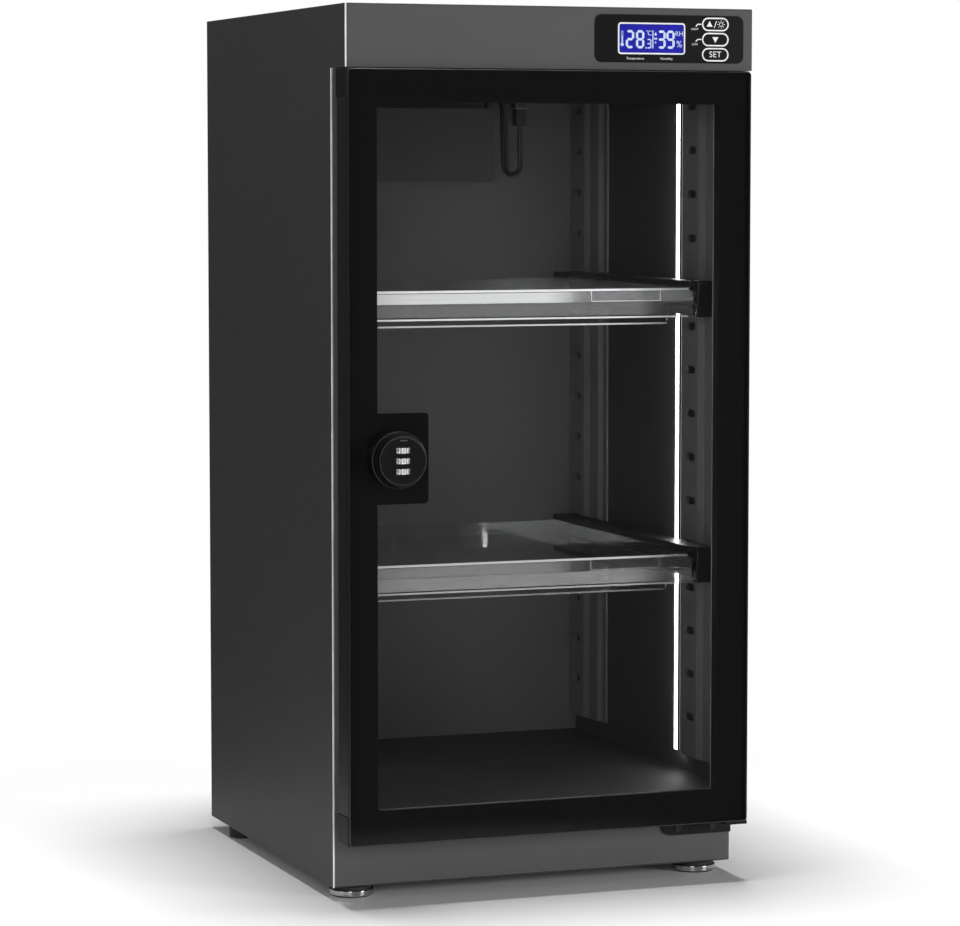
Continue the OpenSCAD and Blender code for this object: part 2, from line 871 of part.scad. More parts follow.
module magnet_strips() {
  y1 = -gap - magnet_skin;
  y0 = y1 - magnet_t;
  x1 = seal_x1 - magnet_inset;
  z0 = seal_z0 + magnet_inset;
  z1 = seal_z1 - magnet_inset;
  color("dimgray") {
    for (side = [0, 1]) mirror([side, 0, 0])
      slab(x1 - magnet_w + snug, x1 - snug, y0, y1, z0 + magnet_w + snug, z1 - magnet_w - snug);
    slab(-x1 + magnet_w, x1 - magnet_w, y0, y1, z0 + snug, z0 + magnet_w - snug);
    slab(-x1 + magnet_w, x1 - magnet_w, y0, y1, z1 - magnet_w + snug, z1 - snug);
  }
}

// Lock
module lock_case() {
  x1 = -half_w + tab_x1 - case_margin;
  half_h = tab_half_h - case_margin;
  back = print_y + case_depth;
  color("black") difference() {
    union() {
      difference() {
        slab(-open_x, x1, print_y, back, lock_z - half_h, lock_z + half_h);
        slab(-open_x + case_wall, x1 - case_wall, print_y - cut, back - case_wall,
          lock_z - half_h + case_wall, lock_z + half_h - case_wall);
      }
      bar_y(lock_x, print_y, back - case_wall / 2, lock_z, case_boss_r);
    }
    bar_y(lock_x, print_y - cut, back + cut, lock_z, shaft_r + run_fit);
  }
}

// Turns a profile drawn as radius against distance from the knob's back into a round part
module knob_turned() {
  translate([lock_x, knob_y0, lock_z]) rotate([90, 0, 0]) rotate_extrude() children();
}

module knob_body() {
  length = knob_y0 - knob_front;
  room_x = wheel_r + wheel_room;
  room_z = wheel_pitch + wheel_t / 2 + wheel_room;
  color("black") difference() {
    knob_turned() polygon([
      [0, 0], [knob_r, 0], [knob_r, knob_straight - knob_edge], [knob_r - knob_edge, knob_straight],
      [knob_front_r, length], [0, length]]);
    bar_y(lock_x, knob_front - cut, face_back, lock_z, face_r + snug);
    slab(lock_x - room_x, lock_x + room_x, knob_front, wheel_y + wheel_r + wheel_room,
      lock_z - room_z, lock_z + room_z);
    translate([lock_x, wheel_y, lock_z - axle_l / 2 - snug])
      cylinder(h = axle_l + 2 * snug, r = axle_r + snug);
    slab(lock_x - axle_r - snug, lock_x + axle_r + snug, knob_front, wheel_y,
      lock_z - axle_l / 2 - snug, lock_z + axle_l / 2 + snug);
    bar_y(lock_x, shaft_y0 - snug, knob_y0 + cut, lock_z, shaft_r + snug);
  }
}

module knob_face() {
  color("dimgray") difference() {
    bar_y(lock_x, face_front, face_back, lock_z, face_r);
    for (i = [-1 : 1])
      slab(lock_x - wheel_hole_w / 2, lock_x + wheel_hole_w / 2, face_front - cut, face_back + cut,
        lock_z + i * wheel_pitch - wheel_t / 2 - gap, lock_z + i * wheel_pitch + wheel_t / 2 + gap);
  }
}

module lock_shaft() {
  color("silver") difference() {
    union() {
      bar_y(lock_x, shaft_y0, cam_y, lock_z, shaft_r);
      bar_y(lock_x, shaft_y0, cam_y + cam_t, lock_z, neck_r);
    }
    bar_y(lock_x, cam_y + cam_t - cam_thread_l, cam_y + cam_t + cut, lock_z, cam_thread_r + snug);
  }
}

module lock_cam() {
  color("silver") front_plate(cam_y, cam_y + cam_t) difference() {
    union() {
      translate([lock_x, lock_z]) circle(cam_w / 2);
      translate([lock_x - cam_w / 2, lock_z]) square([cam_w, cam_reach - cam_w / 2]);
      translate([lock_x, lock_z + cam_reach - cam_w / 2]) circle(cam_w / 2);
    }
    translate([lock_x, lock_z]) circle(neck_r + snug);
  }
}

module cam_screw() {
  y0 = cam_y + cam_t;
  color("silver") {
    bar_y(lock_x, y0, y0 + cam_screw_h, lock_z, cam_screw_r);
    bar_y(lock_x, y0 - cam_thread_l + snug, y0 + cam_screw_h / 2, lock_z, cam_thread_r);
  }
}

module wheel_axle() {
  color("silver") translate([lock_x, wheel_y, lock_z - axle_l / 2]) cylinder(h = axle_l, r = axle_r);
}

module number_wheel(i) {
  color("white") translate([lock_x, wheel_y, lock_z + i * wheel_pitch - wheel_t / 2]) difference() {
    cylinder(h = wheel_t, r = wheel_r);
    translate([0, 0, -cut]) cylinder(h = wheel_t + 2 * cut, r = axle_r + run_fit);
  }
}

module top_number_wheel() {
  number_wheel(1);
}

module middle_number_wheel() {
  number_wheel(0);
}

module bottom_number_wheel() {
  number_wheel(-1);
}

// Feet
module foot(x) {
  color("black") translate([x, foot_y, 0]) {
    translate([0, 0, -foot_h]) cylinder(h = foot_h - foot_top_gap, r = foot_body_r - snug);
    translate([0, 0, -foot_top_gap - cut]) cylinder(h = stud_l, r = stud_r);
  }
}

module foot_ring(x) {
  color("silver") translate([x, foot_y, foot_ring_lift - foot_h]) difference() {
    cylinder(h = foot_ring_h, r = foot_ring_r);
    translate([0, 0, -cut]) cylinder(h = foot_ring_h + 2 * cut, r = foot_body_r);
  }
}

module left_foot() {
  foot(-foot_x);
}

module right_foot() {
  foot(foot_x);
}

module left_foot_ring() {
  foot_ring(-foot_x);
}

module right_foot_ring() {
  foot_ring(foot_x);
}

module foot_nuts() {
  color("silver") for (x = [-foot_x, foot_x]) translate([x, foot_y, sheet_t]) difference() {
    cylinder(h = nut_h, r = nut_r);
    translate([0, 0, -cut]) cylinder(h = nut_h + 2 * cut, r = stud_r + run_fit);
  }
}

module rear_feet() {
  color("black") for (x = [-rear_foot_x, rear_foot_x])
    translate([x, rear_foot_y, -foot_h]) cylinder(h = foot_h, r = rear_foot_r);
}

seated() left_side_panel();
seated() right_side_panel();
seated() top_panel();
seated() bottom_panel();
seated() back_panel();
seated() base_front_panel();
seated() header_panel();
seated() left_front_jamb();
seated() right_front_jamb();
seated() top_front_jamb();
seated() inner_floor();
seated() inner_ceiling();
seated() inner_back();
seated() left_rails();
seated() right_rails();
seated() tray_runners();
seated() light_channel();
seated() light_diffuser();
seated() display_bezel();
seated() display_screen();
seated() control_board();
seated() humidity_unit();
seated() sensor_cable();
seated() cable_plug();
seated() ceiling_socket();
seated() rear_cover();
seated() power_inlet();
seated() lower_hinge_bracket();
seated() upper_hinge_bracket();
seated() bracket_screws();
seated() foot_nuts();
seated() rear_feet();
seated() left_foot();
seated() left_foot_ring();
seated() right_foot();
seated() right_foot_ring();
seated() door_glass();
seated() glass_border();
seated() door_stiles();
seated() door_rails();
seated() corner_caps();
seated() door_gasket();
seated() magnet_strips();
seated() hinge_bushes();
seated() lock_case();
seated() knob_body();
seated() knob_face();
seated() lock_shaft();
seated() lock_cam();
seated() cam_screw();
seated() wheel_axle();
seated() top_number_wheel();
seated() middle_number_wheel();
seated() bottom_number_wheel();
seated() up_button();
seated() down_button();
seated() set_button();
seated() upper_tray();
seated() lower_tray();
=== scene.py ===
"""Looks of the camera dry cabinet: finishes, printed signs, lights and camera.

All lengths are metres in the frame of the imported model. The front of the cabinet looks along
minus y.
"""
import json
import math

import bpy
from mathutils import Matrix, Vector

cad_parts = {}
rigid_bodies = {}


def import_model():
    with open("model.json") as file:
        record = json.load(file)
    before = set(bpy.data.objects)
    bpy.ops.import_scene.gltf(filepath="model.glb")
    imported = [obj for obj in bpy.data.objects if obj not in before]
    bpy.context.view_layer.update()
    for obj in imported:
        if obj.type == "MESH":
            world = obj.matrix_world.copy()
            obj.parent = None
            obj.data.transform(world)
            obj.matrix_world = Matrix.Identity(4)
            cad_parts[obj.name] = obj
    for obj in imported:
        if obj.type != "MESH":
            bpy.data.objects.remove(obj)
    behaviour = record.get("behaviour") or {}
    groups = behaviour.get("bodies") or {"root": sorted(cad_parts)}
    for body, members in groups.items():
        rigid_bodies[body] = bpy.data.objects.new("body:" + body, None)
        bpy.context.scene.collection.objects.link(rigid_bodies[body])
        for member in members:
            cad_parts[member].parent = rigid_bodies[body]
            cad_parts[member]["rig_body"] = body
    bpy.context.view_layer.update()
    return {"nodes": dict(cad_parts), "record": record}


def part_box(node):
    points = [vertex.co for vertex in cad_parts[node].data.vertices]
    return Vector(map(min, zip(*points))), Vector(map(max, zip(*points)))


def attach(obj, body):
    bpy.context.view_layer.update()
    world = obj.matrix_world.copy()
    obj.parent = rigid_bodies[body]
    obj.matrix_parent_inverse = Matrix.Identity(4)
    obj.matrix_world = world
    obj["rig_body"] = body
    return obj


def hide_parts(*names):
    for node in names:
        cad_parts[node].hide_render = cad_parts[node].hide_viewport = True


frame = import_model()
nodes = frame["nodes"]
scene = bpy.context.scene
slot_of = {part["node"]: part["material_slot"] for part in frame["record"]["subparts"]}

# The camera stands where the photograph was taken
eye = Vector((-0.9611, -2.5915, 0.5301))
look = Vector((0.34829, 0.93388, -0.08110))
lens_mm = 135.15
sensor_mm = 36

camera_data = bpy.data.cameras.new("photo_camera")
camera_data.lens = lens_mm
camera_data.sensor_width = sensor_mm
camera = bpy.data.objects.new("photo_camera", camera_data)
camera.location = eye
camera.rotation_mode = "QUATERNION"
camera.rotation_quaternion = look.to_track_quat("-Z", "Y")
scene.collection.objects.link(camera)
scene.camera = camera
scene.view_settings.view_transform = "Standard"


# Selecting, joining and shaping pieces
def deselect():
    bpy.ops.object.select_all(action="DESELECT")


def select(*pieces):
    deselect()
    for piece in pieces:
        piece.select_set(True)
    bpy.context.view_layer.objects.active = pieces[0]


def settle(piece):
    """Moves a piece's place, turn and size into its mesh."""
    select(piece)
    bpy.ops.object.transform_apply(location=True, rotation=True, scale=True)
    return piece


def joined(name, parts):
    select(*parts)
    if len(parts) > 1:
        bpy.ops.object.join()
    parts[0].name = name
    parts[0].data.name = name
    return settle(parts[0])


def modify(piece, kind, **settings):
    select(piece)
    modifier = piece.modifiers.new(kind.lower(), kind)
    for key, value in settings.items():
        setattr(modifier, key, value)
    bpy.ops.object.modifier_apply(modifier=modifier.name)


def edit(piece):
    select(piece)
    bpy.ops.object.mode_set(mode="EDIT")
    bpy.ops.mesh.select_all(action="SELECT")


def leave_edit():
    bpy.ops.object.mode_set(mode="OBJECT")


smooth_angle = math.radians(50)
edge_angle = math.radians(32)
flat_angle = math.radians(0.4)
weld = 0.000002
soft_rounds = 2


def smooth(piece):
    """Smooth rounds beside flat faces that stay flat."""
    select(piece)
    bpy.ops.object.shade_smooth_by_angle(angle=smooth_angle)
    modify(piece, "WEIGHTED_NORMAL", keep_sharp=True)


def round_edges(piece, width, rounds, flat=False, angle=edge_angle):
    """Rounds the sharp edges and marks the round faces in the edge attribute."""
    piece.data.materials.clear()
    for _ in range(2):
        piece.data.materials.append(None)
    modify(piece, "BEVEL", width=width, segments=rounds, limit_method="ANGLE",
           angle_limit=angle, material=1)
    mesh = piece.data
    marks = [0.0] * len(mesh.loops)
    for face in mesh.polygons:
        for corner in face.loop_indices:
            marks[corner] = float(face.material_index)
        face.material_index = 0
    mesh.attributes.new("edge", "FLOAT", "CORNER").data.foreach_set("value", marks)
    if not flat:
        smooth(piece)


def merged_copy(node, name):
    """A copy of a CAD node's mesh with its triangles merged into whole faces."""
    piece = bpy.data.objects.new(name, nodes[node].data.copy())
    piece.data.name = name
    scene.collection.objects.link(piece)
    edit(piece)
    bpy.ops.mesh.remove_doubles(threshold=weld)
    bpy.ops.mesh.dissolve_limited(angle_limit=flat_angle)
    leave_edit()
    bpy.ops.mesh.customdata_custom_splitnormals_clear()
    return piece


def finish_piece(piece, body, slot, *replaced):
    """Gives a piece its finish and lets it ride on its body."""
    piece.data.materials.clear()
    piece.data.materials.append(finishes[slot])
    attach(piece, body)
    if replaced:
        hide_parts(*replaced)
    return piece


def softened(node, width, rounds=soft_rounds, angle=edge_angle):
    """Stands for a CAD node with its edges rounded."""
    piece = merged_copy(node, node + "_piece")
    round_edges(piece, width, rounds, angle=angle)
    return finish_piece(piece, nodes[node]["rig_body"], slot_of[node], node)


# Building materials
def wire(tree, socket, value):
    if isinstance(value, bpy.types.NodeSocket):
        tree.links.new(value, socket)
    else:
        socket.default_value = value


def add(tree, kind, **sockets):
    made = tree.nodes.new("ShaderNode" + kind)
    for label, value in sockets.items():
        wire(tree, made.inputs[label.replace("_", " ")], value)
    return made


def calc(tree, operation, first, second=0.0, clamp=False):
    made = tree.nodes.new("ShaderNodeMath")
    made.operation = operation
    made.use_clamp = clamp
    wire(tree, made.inputs[0], first)
    wire(tree, made.inputs[1], second)
    return made.outputs[0]


def ramp(tree, value, low, high):
    """0 below low, 1 above high."""
    made = tree.nodes.new("ShaderNodeMapRange")
    made.interpolation_type = "SMOOTHSTEP"
    wire(tree, made.inputs["Value"], value)
    made.inputs["From Min"].default_value = low
    made.inputs["From Max"].default_value = high
    return made.outputs[0]


def blend_colours(tree, share, first, second):
    made = tree.nodes.new("ShaderNodeMix")
    made.data_type = "RGBA"
    wire(tree, made.inputs[0], share)
    wire(tree, made.inputs[6], first)
    wire(tree, made.inputs[7], second)
    return made.outputs[2]


def noise(tree, place, scale, detail=2.0):
    return add(tree, "TexNoise", Vector=place, Scale=scale, Detail=detail).outputs["Fac"]


def new_group(name, inputs, outputs):
    tree = bpy.data.node_groups.new(name, "ShaderNodeTree")
    for label, kind in inputs:
        tree.interface.new_socket(label, in_out="INPUT", socket_type="NodeSocket" + kind)
    for label, kind in outputs:
        tree.interface.new_socket(label, in_out="OUTPUT", socket_type="NodeSocket" + kind)
    return tree, tree.nodes.new("NodeGroupInput").outputs, tree.nodes.new("NodeGroupOutput").inputs


def place_group(tree, group, **sockets):
    made = tree.nodes.new("ShaderNodeGroup")
    made.node_tree = group
    for label, value in sockets.items():
        wire(tree, made.inputs[label.replace("_", " ")], value)
    return made.outputs


full_level = 255
curve_offset = 0.055
curve_power = 2.4
white = (1, 1, 1, 1)


def grey(level, warm=0.0):
    """Colour of a grey that a screen shows at this level of 255, a little warmer or cooler."""
    value = ((level / full_level + curve_offset) / (1 + curve_offset)) ** curve_power
    return (value * (1 + warm), value, value * (1 - warm), 1.0)


# Effects that several materials share; the scales of noise count waves per metre
middle = 0.5
broad_scale = 6.0
broad_detail = 4.0
handled_scale = 40.0
handled_detail = 3.0
bright_gain = 2.0


def make_grain():
    """Fine grain for the bump, with broad unevenness of colour and gloss."""
    tree, given, out = new_group(
        "surface_grain",
        [("Vector", "Vector"), ("Color", "Color"), ("Roughness", "Float"),
         ("Grain", "Float"), ("Uneven", "Float")],
        [("Color", "Color"), ("Roughness", "Float"), ("Height", "Float")])
    fine = noise(tree, given["Vector"], given["Grain"])
    broad = noise(tree, given["Vector"], broad_scale, broad_detail)
    handled = noise(tree, given["Vector"], handled_scale, handled_detail)
    swing = calc(tree, "SUBTRACT", broad, middle)
    speck = calc(tree, "SUBTRACT", fine, middle)
    shift = calc(tree, "MULTIPLY", calc(tree, "ADD", swing, speck), given["Uneven"])
    bright = calc(tree, "ADD", calc(tree, "MULTIPLY", shift, bright_gain), 1.0)
    tinted = add(tree, "HueSaturation", Value=bright, Color=given["Color"])
    wire(tree, out["Color"], tinted.outputs[0])
    dull = calc(tree, "MULTIPLY", calc(tree, "SUBTRACT", handled, middle), given["Uneven"])
    wire(tree, out["Roughness"], calc(tree, "ADD", given["Roughness"], dull, clamp=True))
    wire(tree, out["Height"], fine)
    return tree


# Rounded edges are lightened by each finish's lift: a painted highlight along them, made patchy like
# wear
rub_from = 0.25
rub_to = 0.6
rub_polish = -0.12


def make_edge_light():
    """Lighter, smoother faces where an edge is rounded: a painted highlight along the edge, patchy
    like wear.
    """
    tree, given, out = new_group(
        "edge_wear_and_highlight",
        [("Vector", "Vector"), ("Color", "Color"), ("Roughness", "Float"), ("Lift", "Float")],
        [("Color", "Color"), ("Roughness", "Float")])
    mark = add(tree, "Attribute")
    mark.attribute_name = "edge"
    patchy = ramp(tree, noise(tree, given["Vector"], handled_scale), rub_from, rub_to)
    share = calc(tree, "MULTIPLY", mark.outputs["Fac"], calc(tree, "ADD", patchy, 1.0))
    gain = calc(tree, "ADD", calc(tree, "MULTIPLY", share, given["Lift"]), 1.0)
    lighter = add(tree, "HueSaturation", Value=gain, Color=given["Color"])
    wire(tree, out["Color"], lighter.outputs[0])
    worn = calc(tree, "MULTIPLY", mark.outputs["Fac"], rub_polish)
    wire(tree, out["Roughness"], calc(tree, "ADD", given["Roughness"], worn, clamp=True))
    return tree


dust_slope_from = 0.6
dust_slope_to = 0.95
dust_scale = 25.0
dust_detail = 5.0
dust_from = 0.3
dust_to = 0.75
dust_colour = grey(165, 0.03)
dust_rough = 0.5


def make_dust():
    """A thin film of dust on faces that look up."""
    tree, given, out = new_group(
        "resting_dust",
        [("Vector", "Vector"), ("Color", "Color"), ("Roughness", "Float"), ("Amount", "Float")],
        [("Color", "Color"), ("Roughness", "Float")])
    normal = add(tree, "NewGeometry").outputs["Normal"]
    slope = add(tree, "SeparateXYZ", Vector=normal).outputs["Z"]
    upward = ramp(tree, slope, dust_slope_from, dust_slope_to)
    patchy = ramp(tree, noise(tree, given["Vector"], dust_scale, dust_detail), dust_from, dust_to)
    share = calc(tree, "MULTIPLY", calc(tree, "MULTIPLY", upward, patchy), given["Amount"])
    wire(tree, out["Color"], blend_colours(tree, share, given["Color"], dust_colour))
    rougher = calc(tree, "MULTIPLY", share, dust_rough)
    wire(tree, out["Roughness"], calc(tree, "ADD", given["Roughness"], rougher, clamp=True))
    return tree


grain_group = make_grain()
edge_highlight_group = make_edge_light()
dust_group = make_dust()


def new_material(name, **constants):
    """A material with one shader; the constants are set on the shader's own sockets."""
    made = bpy.data.materials.new(name)
    made.use_nodes = True
    tree = made.node_tree
    tree.nodes.clear()
    shader = tree.nodes.new("ShaderNodeBsdfPrincipled")
    tree.nodes.new("ShaderNodeOutputMaterial")
    show_surface(tree, shader.outputs[0])
    for label, value in constants.items():
        shader.inputs[label.replace("_", " ")].default_value = value
    place = tree.nodes.new("ShaderNodeTexCoord").outputs["Object"]
    return made, tree, shader, place


def show_surface(tree, surface):
    """Makes this shader the one that the material shows."""
    wire(tree, tree.nodes["Material Output"].inputs["Surface"], surface)


def bump(tree, shader, height, depth):
    made = add(tree, "Bump", Height=height, Distance=depth, Strength=1.0)
    wire(tree, shader.inputs["Normal"], made.outputs[0])


def coated(name, colour, rough, grain, depth, uneven=0.1, lift=0.4, dust=0.0, **constants):
    """Paint, plastic or rubber: grain, edges lightened as a painted highlight with wear, and a little
    dust over one colour.
    """
    made, tree, shader, place = new_material(name, **constants)
    grained = place_group(tree, grain_group, Vector=place, Color=colour, Roughness=rough,
                          Grain=grain, Uneven=uneven)
    worn_and_highlit = place_group(tree, edge_highlight_group, Vector=place, Color=grained["Color"],
                         Roughness=grained["Roughness"], Lift=lift)
    dusty = place_group(tree, dust_group, Vector=place, Color=worn_and_highlit["Color"],
                        Roughness=worn_and_highlit["Roughness"], Amount=dust)
    wire(tree, shader.inputs["Base Color"], dusty["Color"])
    wire(tree, shader.inputs["Roughness"], dusty["Roughness"])
    bump(tree, shader, grained["Height"], depth)
    return made


# Metal edges are lightened by this share: a painted highlight along them, with some wear
metal_lift = 0.2


def drawn_metal(name, colour, rough, across, depth, uneven=0.1):
    """Metal with fine lines from drawing or turning; across gives the lines' count per metre."""
    made, tree, shader, place = new_material(name, Metallic=1.0)
    stretched = add(tree, "Mapping", Vector=place, Scale=across)
    grained = place_group(tree, grain_group, Vector=stretched.outputs[0], Color=colour,
                          Roughness=rough, Grain=1.0, Uneven=uneven)
    worn_and_highlit = place_group(tree, edge_highlight_group, Vector=place, Color=grained["Color"],
                         Roughness=grained["Roughness"], Lift=metal_lift)
    wire(tree, shader.inputs["Base Color"], worn_and_highlit["Color"])
    wire(tree, shader.inputs["Roughness"], worn_and_highlit["Roughness"])
    bump(tree, shader, grained["Height"], depth)
    return made


def let_light_through(tree, shader):
    """Shadow rays and diffuse rays pass straight, so that lamps and the light that bounces reach
    what stands behind the clear piece."""
    passing = tree.nodes.new("ShaderNodeBsdfTransparent")
    path = tree.nodes.new("ShaderNodeLightPath")
    share = calc(tree, "MAXIMUM", path.outputs["Is Shadow Ray"], path.outputs["Is Diffuse Ray"])
    both = tree.nodes.new("ShaderNodeMixShader")
    wire(tree, both.inputs[0], share)
    wire(tree, both.inputs[1], shader.outputs[0])
    wire(tree, both.inputs[2], passing.outputs[0])
    show_surface(tree, both.outputs[0])


smear_detail = 5.0
smear_from = 0.45
smear_to = 0.75
smear_colour = grey(250)


def clear_finish(name, colour, ior, rough_low, rough_high, smear_scale):
    """Glass or clear plastic with faint smears in its gloss."""
    made, tree, shader, place = new_material(name, IOR=ior, Transmission_Weight=1.0)
    smear = ramp(tree, noise(tree, place, smear_scale, smear_detail), smear_from, smear_to)
    spread = calc(tree, "MULTIPLY", smear, rough_high - rough_low)
    wire(tree, shader.inputs["Roughness"], calc(tree, "ADD", spread, rough_low))
    wire(tree, shader.inputs["Base Color"], blend_colours(tree, smear, colour, smear_colour))
    let_light_through(tree, shader)
    return made


lit_rough = 0.35
lit_gloss = 0.1
lit_grain = 900.0
lit_uneven = 0.05
waver_from = 0.3
waver_to = 0.7


def glowing(name, colour, strength, waver_scale, dim):
    """A lit face whose brightness wavers a little, down to the share dim."""
    made, tree, shader, place = new_material(name, Emission_Strength=strength,
                                             Specular_IOR_Level=lit_gloss)
    waver = ramp(tree, noise(tree, place, waver_scale), waver_from, waver_to)
    shown = blend_colours(tree, waver, colour, [part * dim for part in colour[:3]] + [1.0])
    wire(tree, shader.inputs["Emission Color"], shown)
    wire(tree, shader.inputs["Base Color"], shown)
    grained = place_group(tree, grain_group, Vector=place, Color=colour, Roughness=lit_rough,
                          Grain=lit_grain, Uneven=lit_uneven)
    wire(tree, shader.inputs["Roughness"], grained["Roughness"])
    return made


track_scale = 260.0
track_from = 0.45
track_to = 0.55
track_depth = 0.00003
mask_green = (0.01, 0.1, 0.03, 1.0)
track_green = (0.03, 0.22, 0.07, 1.0)
mask_rough = 0.35
mask_grain = 500.0
mask_uneven = 0.1


def board_finish(name):
    """Solder mask with lighter tracks."""
    made, tree, shader, place = new_material(name)
    cells = add(tree, "TexVoronoi", Vector=place, Scale=track_scale)
    cells.distance = "MANHATTAN"
    track = ramp(tree, cells.outputs["Distance"], track_from, track_to)
    wire(tree, shader.inputs["Base Color"], blend_colours(tree, track, mask_green, track_green))
    grained = place_group(tree, grain_group, Vector=place, Color=mask_green,
                          Roughness=mask_rough, Grain=mask_grain, Uneven=mask_uneven)
    wire(tree, shader.inputs["Roughness"], grained["Roughness"])
    bump(tree, shader, track, track_depth)
    return made


powder_grain = 1500.0
powder_depth = 0.000012
moulded_grain = 2400.0
moulded_depth = 0.000008
print_grain = 900.0
print_depth = 0.000002


def painted(name, colour, **settings):
    """Powder paint on sheet metal."""
    return coated(name, colour, grain=powder_grain, depth=powder_depth, **settings)


def moulded(name, colour, **settings):
    """Plastic out of a mould."""
    return coated(name, colour, grain=moulded_grain, depth=moulded_depth, **settings)


def printed(name, colour, **settings):
    """Printing ink."""
    return coated(name, colour, grain=print_grain, depth=print_depth, lift=0.0, **settings)


# Levels and strengths are not known for the real thing: they are set so that tones come near the
# photograph's. The light cover is made to glow far more than the other lit faces
# Each lift lightens the finish's rounded edges: a painted highlight along them, with patchy wear
finishes = {
    "side_paint": painted("side_paint", grey(57), rough=0.55, uneven=0.06, lift=0.5, dust=0.03),
    "front_paint": painted("front_paint", grey(72), rough=0.6, uneven=0.05, lift=1.0, dust=0.03),
    "under_paint": painted("under_paint", grey(40), rough=0.6, uneven=0.1, lift=0.3, dust=0.05),
    "lining_paint": painted("lining_paint", grey(84), rough=0.5, uneven=0.06, lift=0.8, dust=0.02),
    # The rails' strong lift paints highlight lines along their folds
    "rail_paint": painted("rail_paint", grey(105), rough=0.42, uneven=0.06, lift=3.0, dust=0.02),
    "runner_plastic": moulded("runner_plastic", grey(26), rough=0.4, uneven=0.1, lift=1.2),
    "light_metal": drawn_metal("light_metal", grey(80), rough=0.4, across=(2500.0, 2500.0, 30.0),
        depth=0.000004),
    "light_cover": glowing("light_cover", grey(250), strength=22.0, waver_scale=120.0, dim=0.96),
    "bezel_plastic": coated("bezel_plastic", grey(14), rough=0.3, grain=700.0, depth=0.000002,
        uneven=0.05, lift=2.5, dust=0.02, Specular_IOR_Level=0.06),
    "screen_blue": glowing("screen_blue", (0.003, 0.003, 0.24, 1.0), strength=0.6,
        waver_scale=60.0, dim=0.85),
    "board_resin": board_finish("board_resin"),
    "unit_plastic": moulded("unit_plastic", grey(56), rough=0.5, uneven=0.08, lift=1.5, dust=0.05),
    "cable_sheath": moulded("cable_sheath", grey(24), rough=0.3, uneven=0.1, lift=0.0),
    "plug_plastic": moulded("plug_plastic", grey(36), rough=0.42, uneven=0.1, lift=0.6),
    "bracket_paint": painted("bracket_paint", grey(18), rough=0.5, uneven=0.1, lift=0.5,
        Specular_IOR_Level=0.15),
    "small_steel": drawn_metal("small_steel", grey(190), rough=0.32, across=(900.0, 900.0, 900.0),
        depth=0.000006),
    "foot_rubber": coated("foot_rubber", grey(30), rough=0.7, grain=1200.0, depth=0.00002,
        uneven=0.15, lift=0.2, dust=0.1),
    "foot_chrome": drawn_metal("foot_chrome", grey(185), rough=0.05, across=(60.0, 60.0, 60.0),
        depth=0.0000005, uneven=0.05),
    "door_glass": clear_finish("door_glass", grey(247, -0.01), ior=1.5, rough_low=0.0,
        rough_high=0.03, smear_scale=5.0),
    "border_print": coated("border_print", grey(18), rough=0.5, grain=400.0, depth=0.000001,
        uneven=0.05, lift=0.0, Specular_IOR_Level=0.0),
    "frame_metal": coated("frame_metal", grey(33), rough=0.45, grain=1800.0, depth=0.000004,
        uneven=0.06, lift=0.0, Specular_IOR_Level=0.3),
    "cap_plastic": moulded("cap_plastic", grey(26), rough=0.5, uneven=0.08, lift=0.5,
        Specular_IOR_Level=0.2),
    "seal_rubber": coated("seal_rubber", grey(22), rough=0.6, grain=1500.0, depth=0.00001,
        uneven=0.1, lift=0.2),
    "magnet": coated("magnet", grey(60, 0.05), rough=0.75, grain=1800.0, depth=0.00001, uneven=0.15,
        lift=0.0),
    "bush_plastic": moulded("bush_plastic", grey(225, 0.03), rough=0.45, uneven=0.04, lift=0.0),
    # The knob's strong lift paints a highlight ring along its rounded edges
    "knob_plastic": moulded("knob_plastic", grey(16), rough=0.5, uneven=0.08, lift=5.0,
        Specular_IOR_Level=0.08),
    "wheel_plastic": moulded("wheel_plastic", grey(24), rough=0.4, uneven=0.1, lift=0.6),
    "tray_clear": clear_finish("tray_clear", grey(245, -0.01), ior=1.49, rough_low=0.03,
        rough_high=0.12, smear_scale=30.0),
}
print_white = printed("print_white", grey(232), rough=0.45, uneven=0.05)
print_dim = printed("print_dim", grey(66), rough=0.5, uneven=0.08)
print_black = printed("print_black", grey(20), rough=0.5, uneven=0.05)
lit_sign = glowing("lit_sign", (0.54, 0.66, 0.80, 1.0), strength=0.15, waver_scale=200.0, dim=0.92)
screw_black = moulded("screw_black", grey(20), rough=0.45, uneven=0.1, lift=1.5,
    Specular_IOR_Level=0.3)
# A darker copy of the lining paint for the inner floor: painted shade
shaded_floor_lining = painted("shaded_floor_lining", grey(42), rough=0.6, uneven=0.08, lift=0.5, dust=0.02)
# A much lighter copy of the side paint: a painted highlight for the side panel's front edge
edge_highlight_paint = painted("edge_highlight_paint", grey(205), rough=0.4, uneven=0.06, lift=0.4)
ground_edge = coated("ground_edge", grey(30, -0.05), rough=0.55, grain=1500.0, depth=0.00001,
    uneven=0.1, lift=0.2)


# The sensor cable: out of the unit's top, over and down into a loop, up to its plug. It takes the
# place of its CAD tube, and each bend is laid out as a half circle of the radius cable_bend
cable_d = 0.0035
cable_bend = 2 * cable_d
cable_exit = (0.071, 0.1635, 0.5795)
cable_end = (0.099, 0.1605, 0.5655)
loop_z = 0.5335
leg_steps = 3
bend_steps = 6
cable_roundness = 4


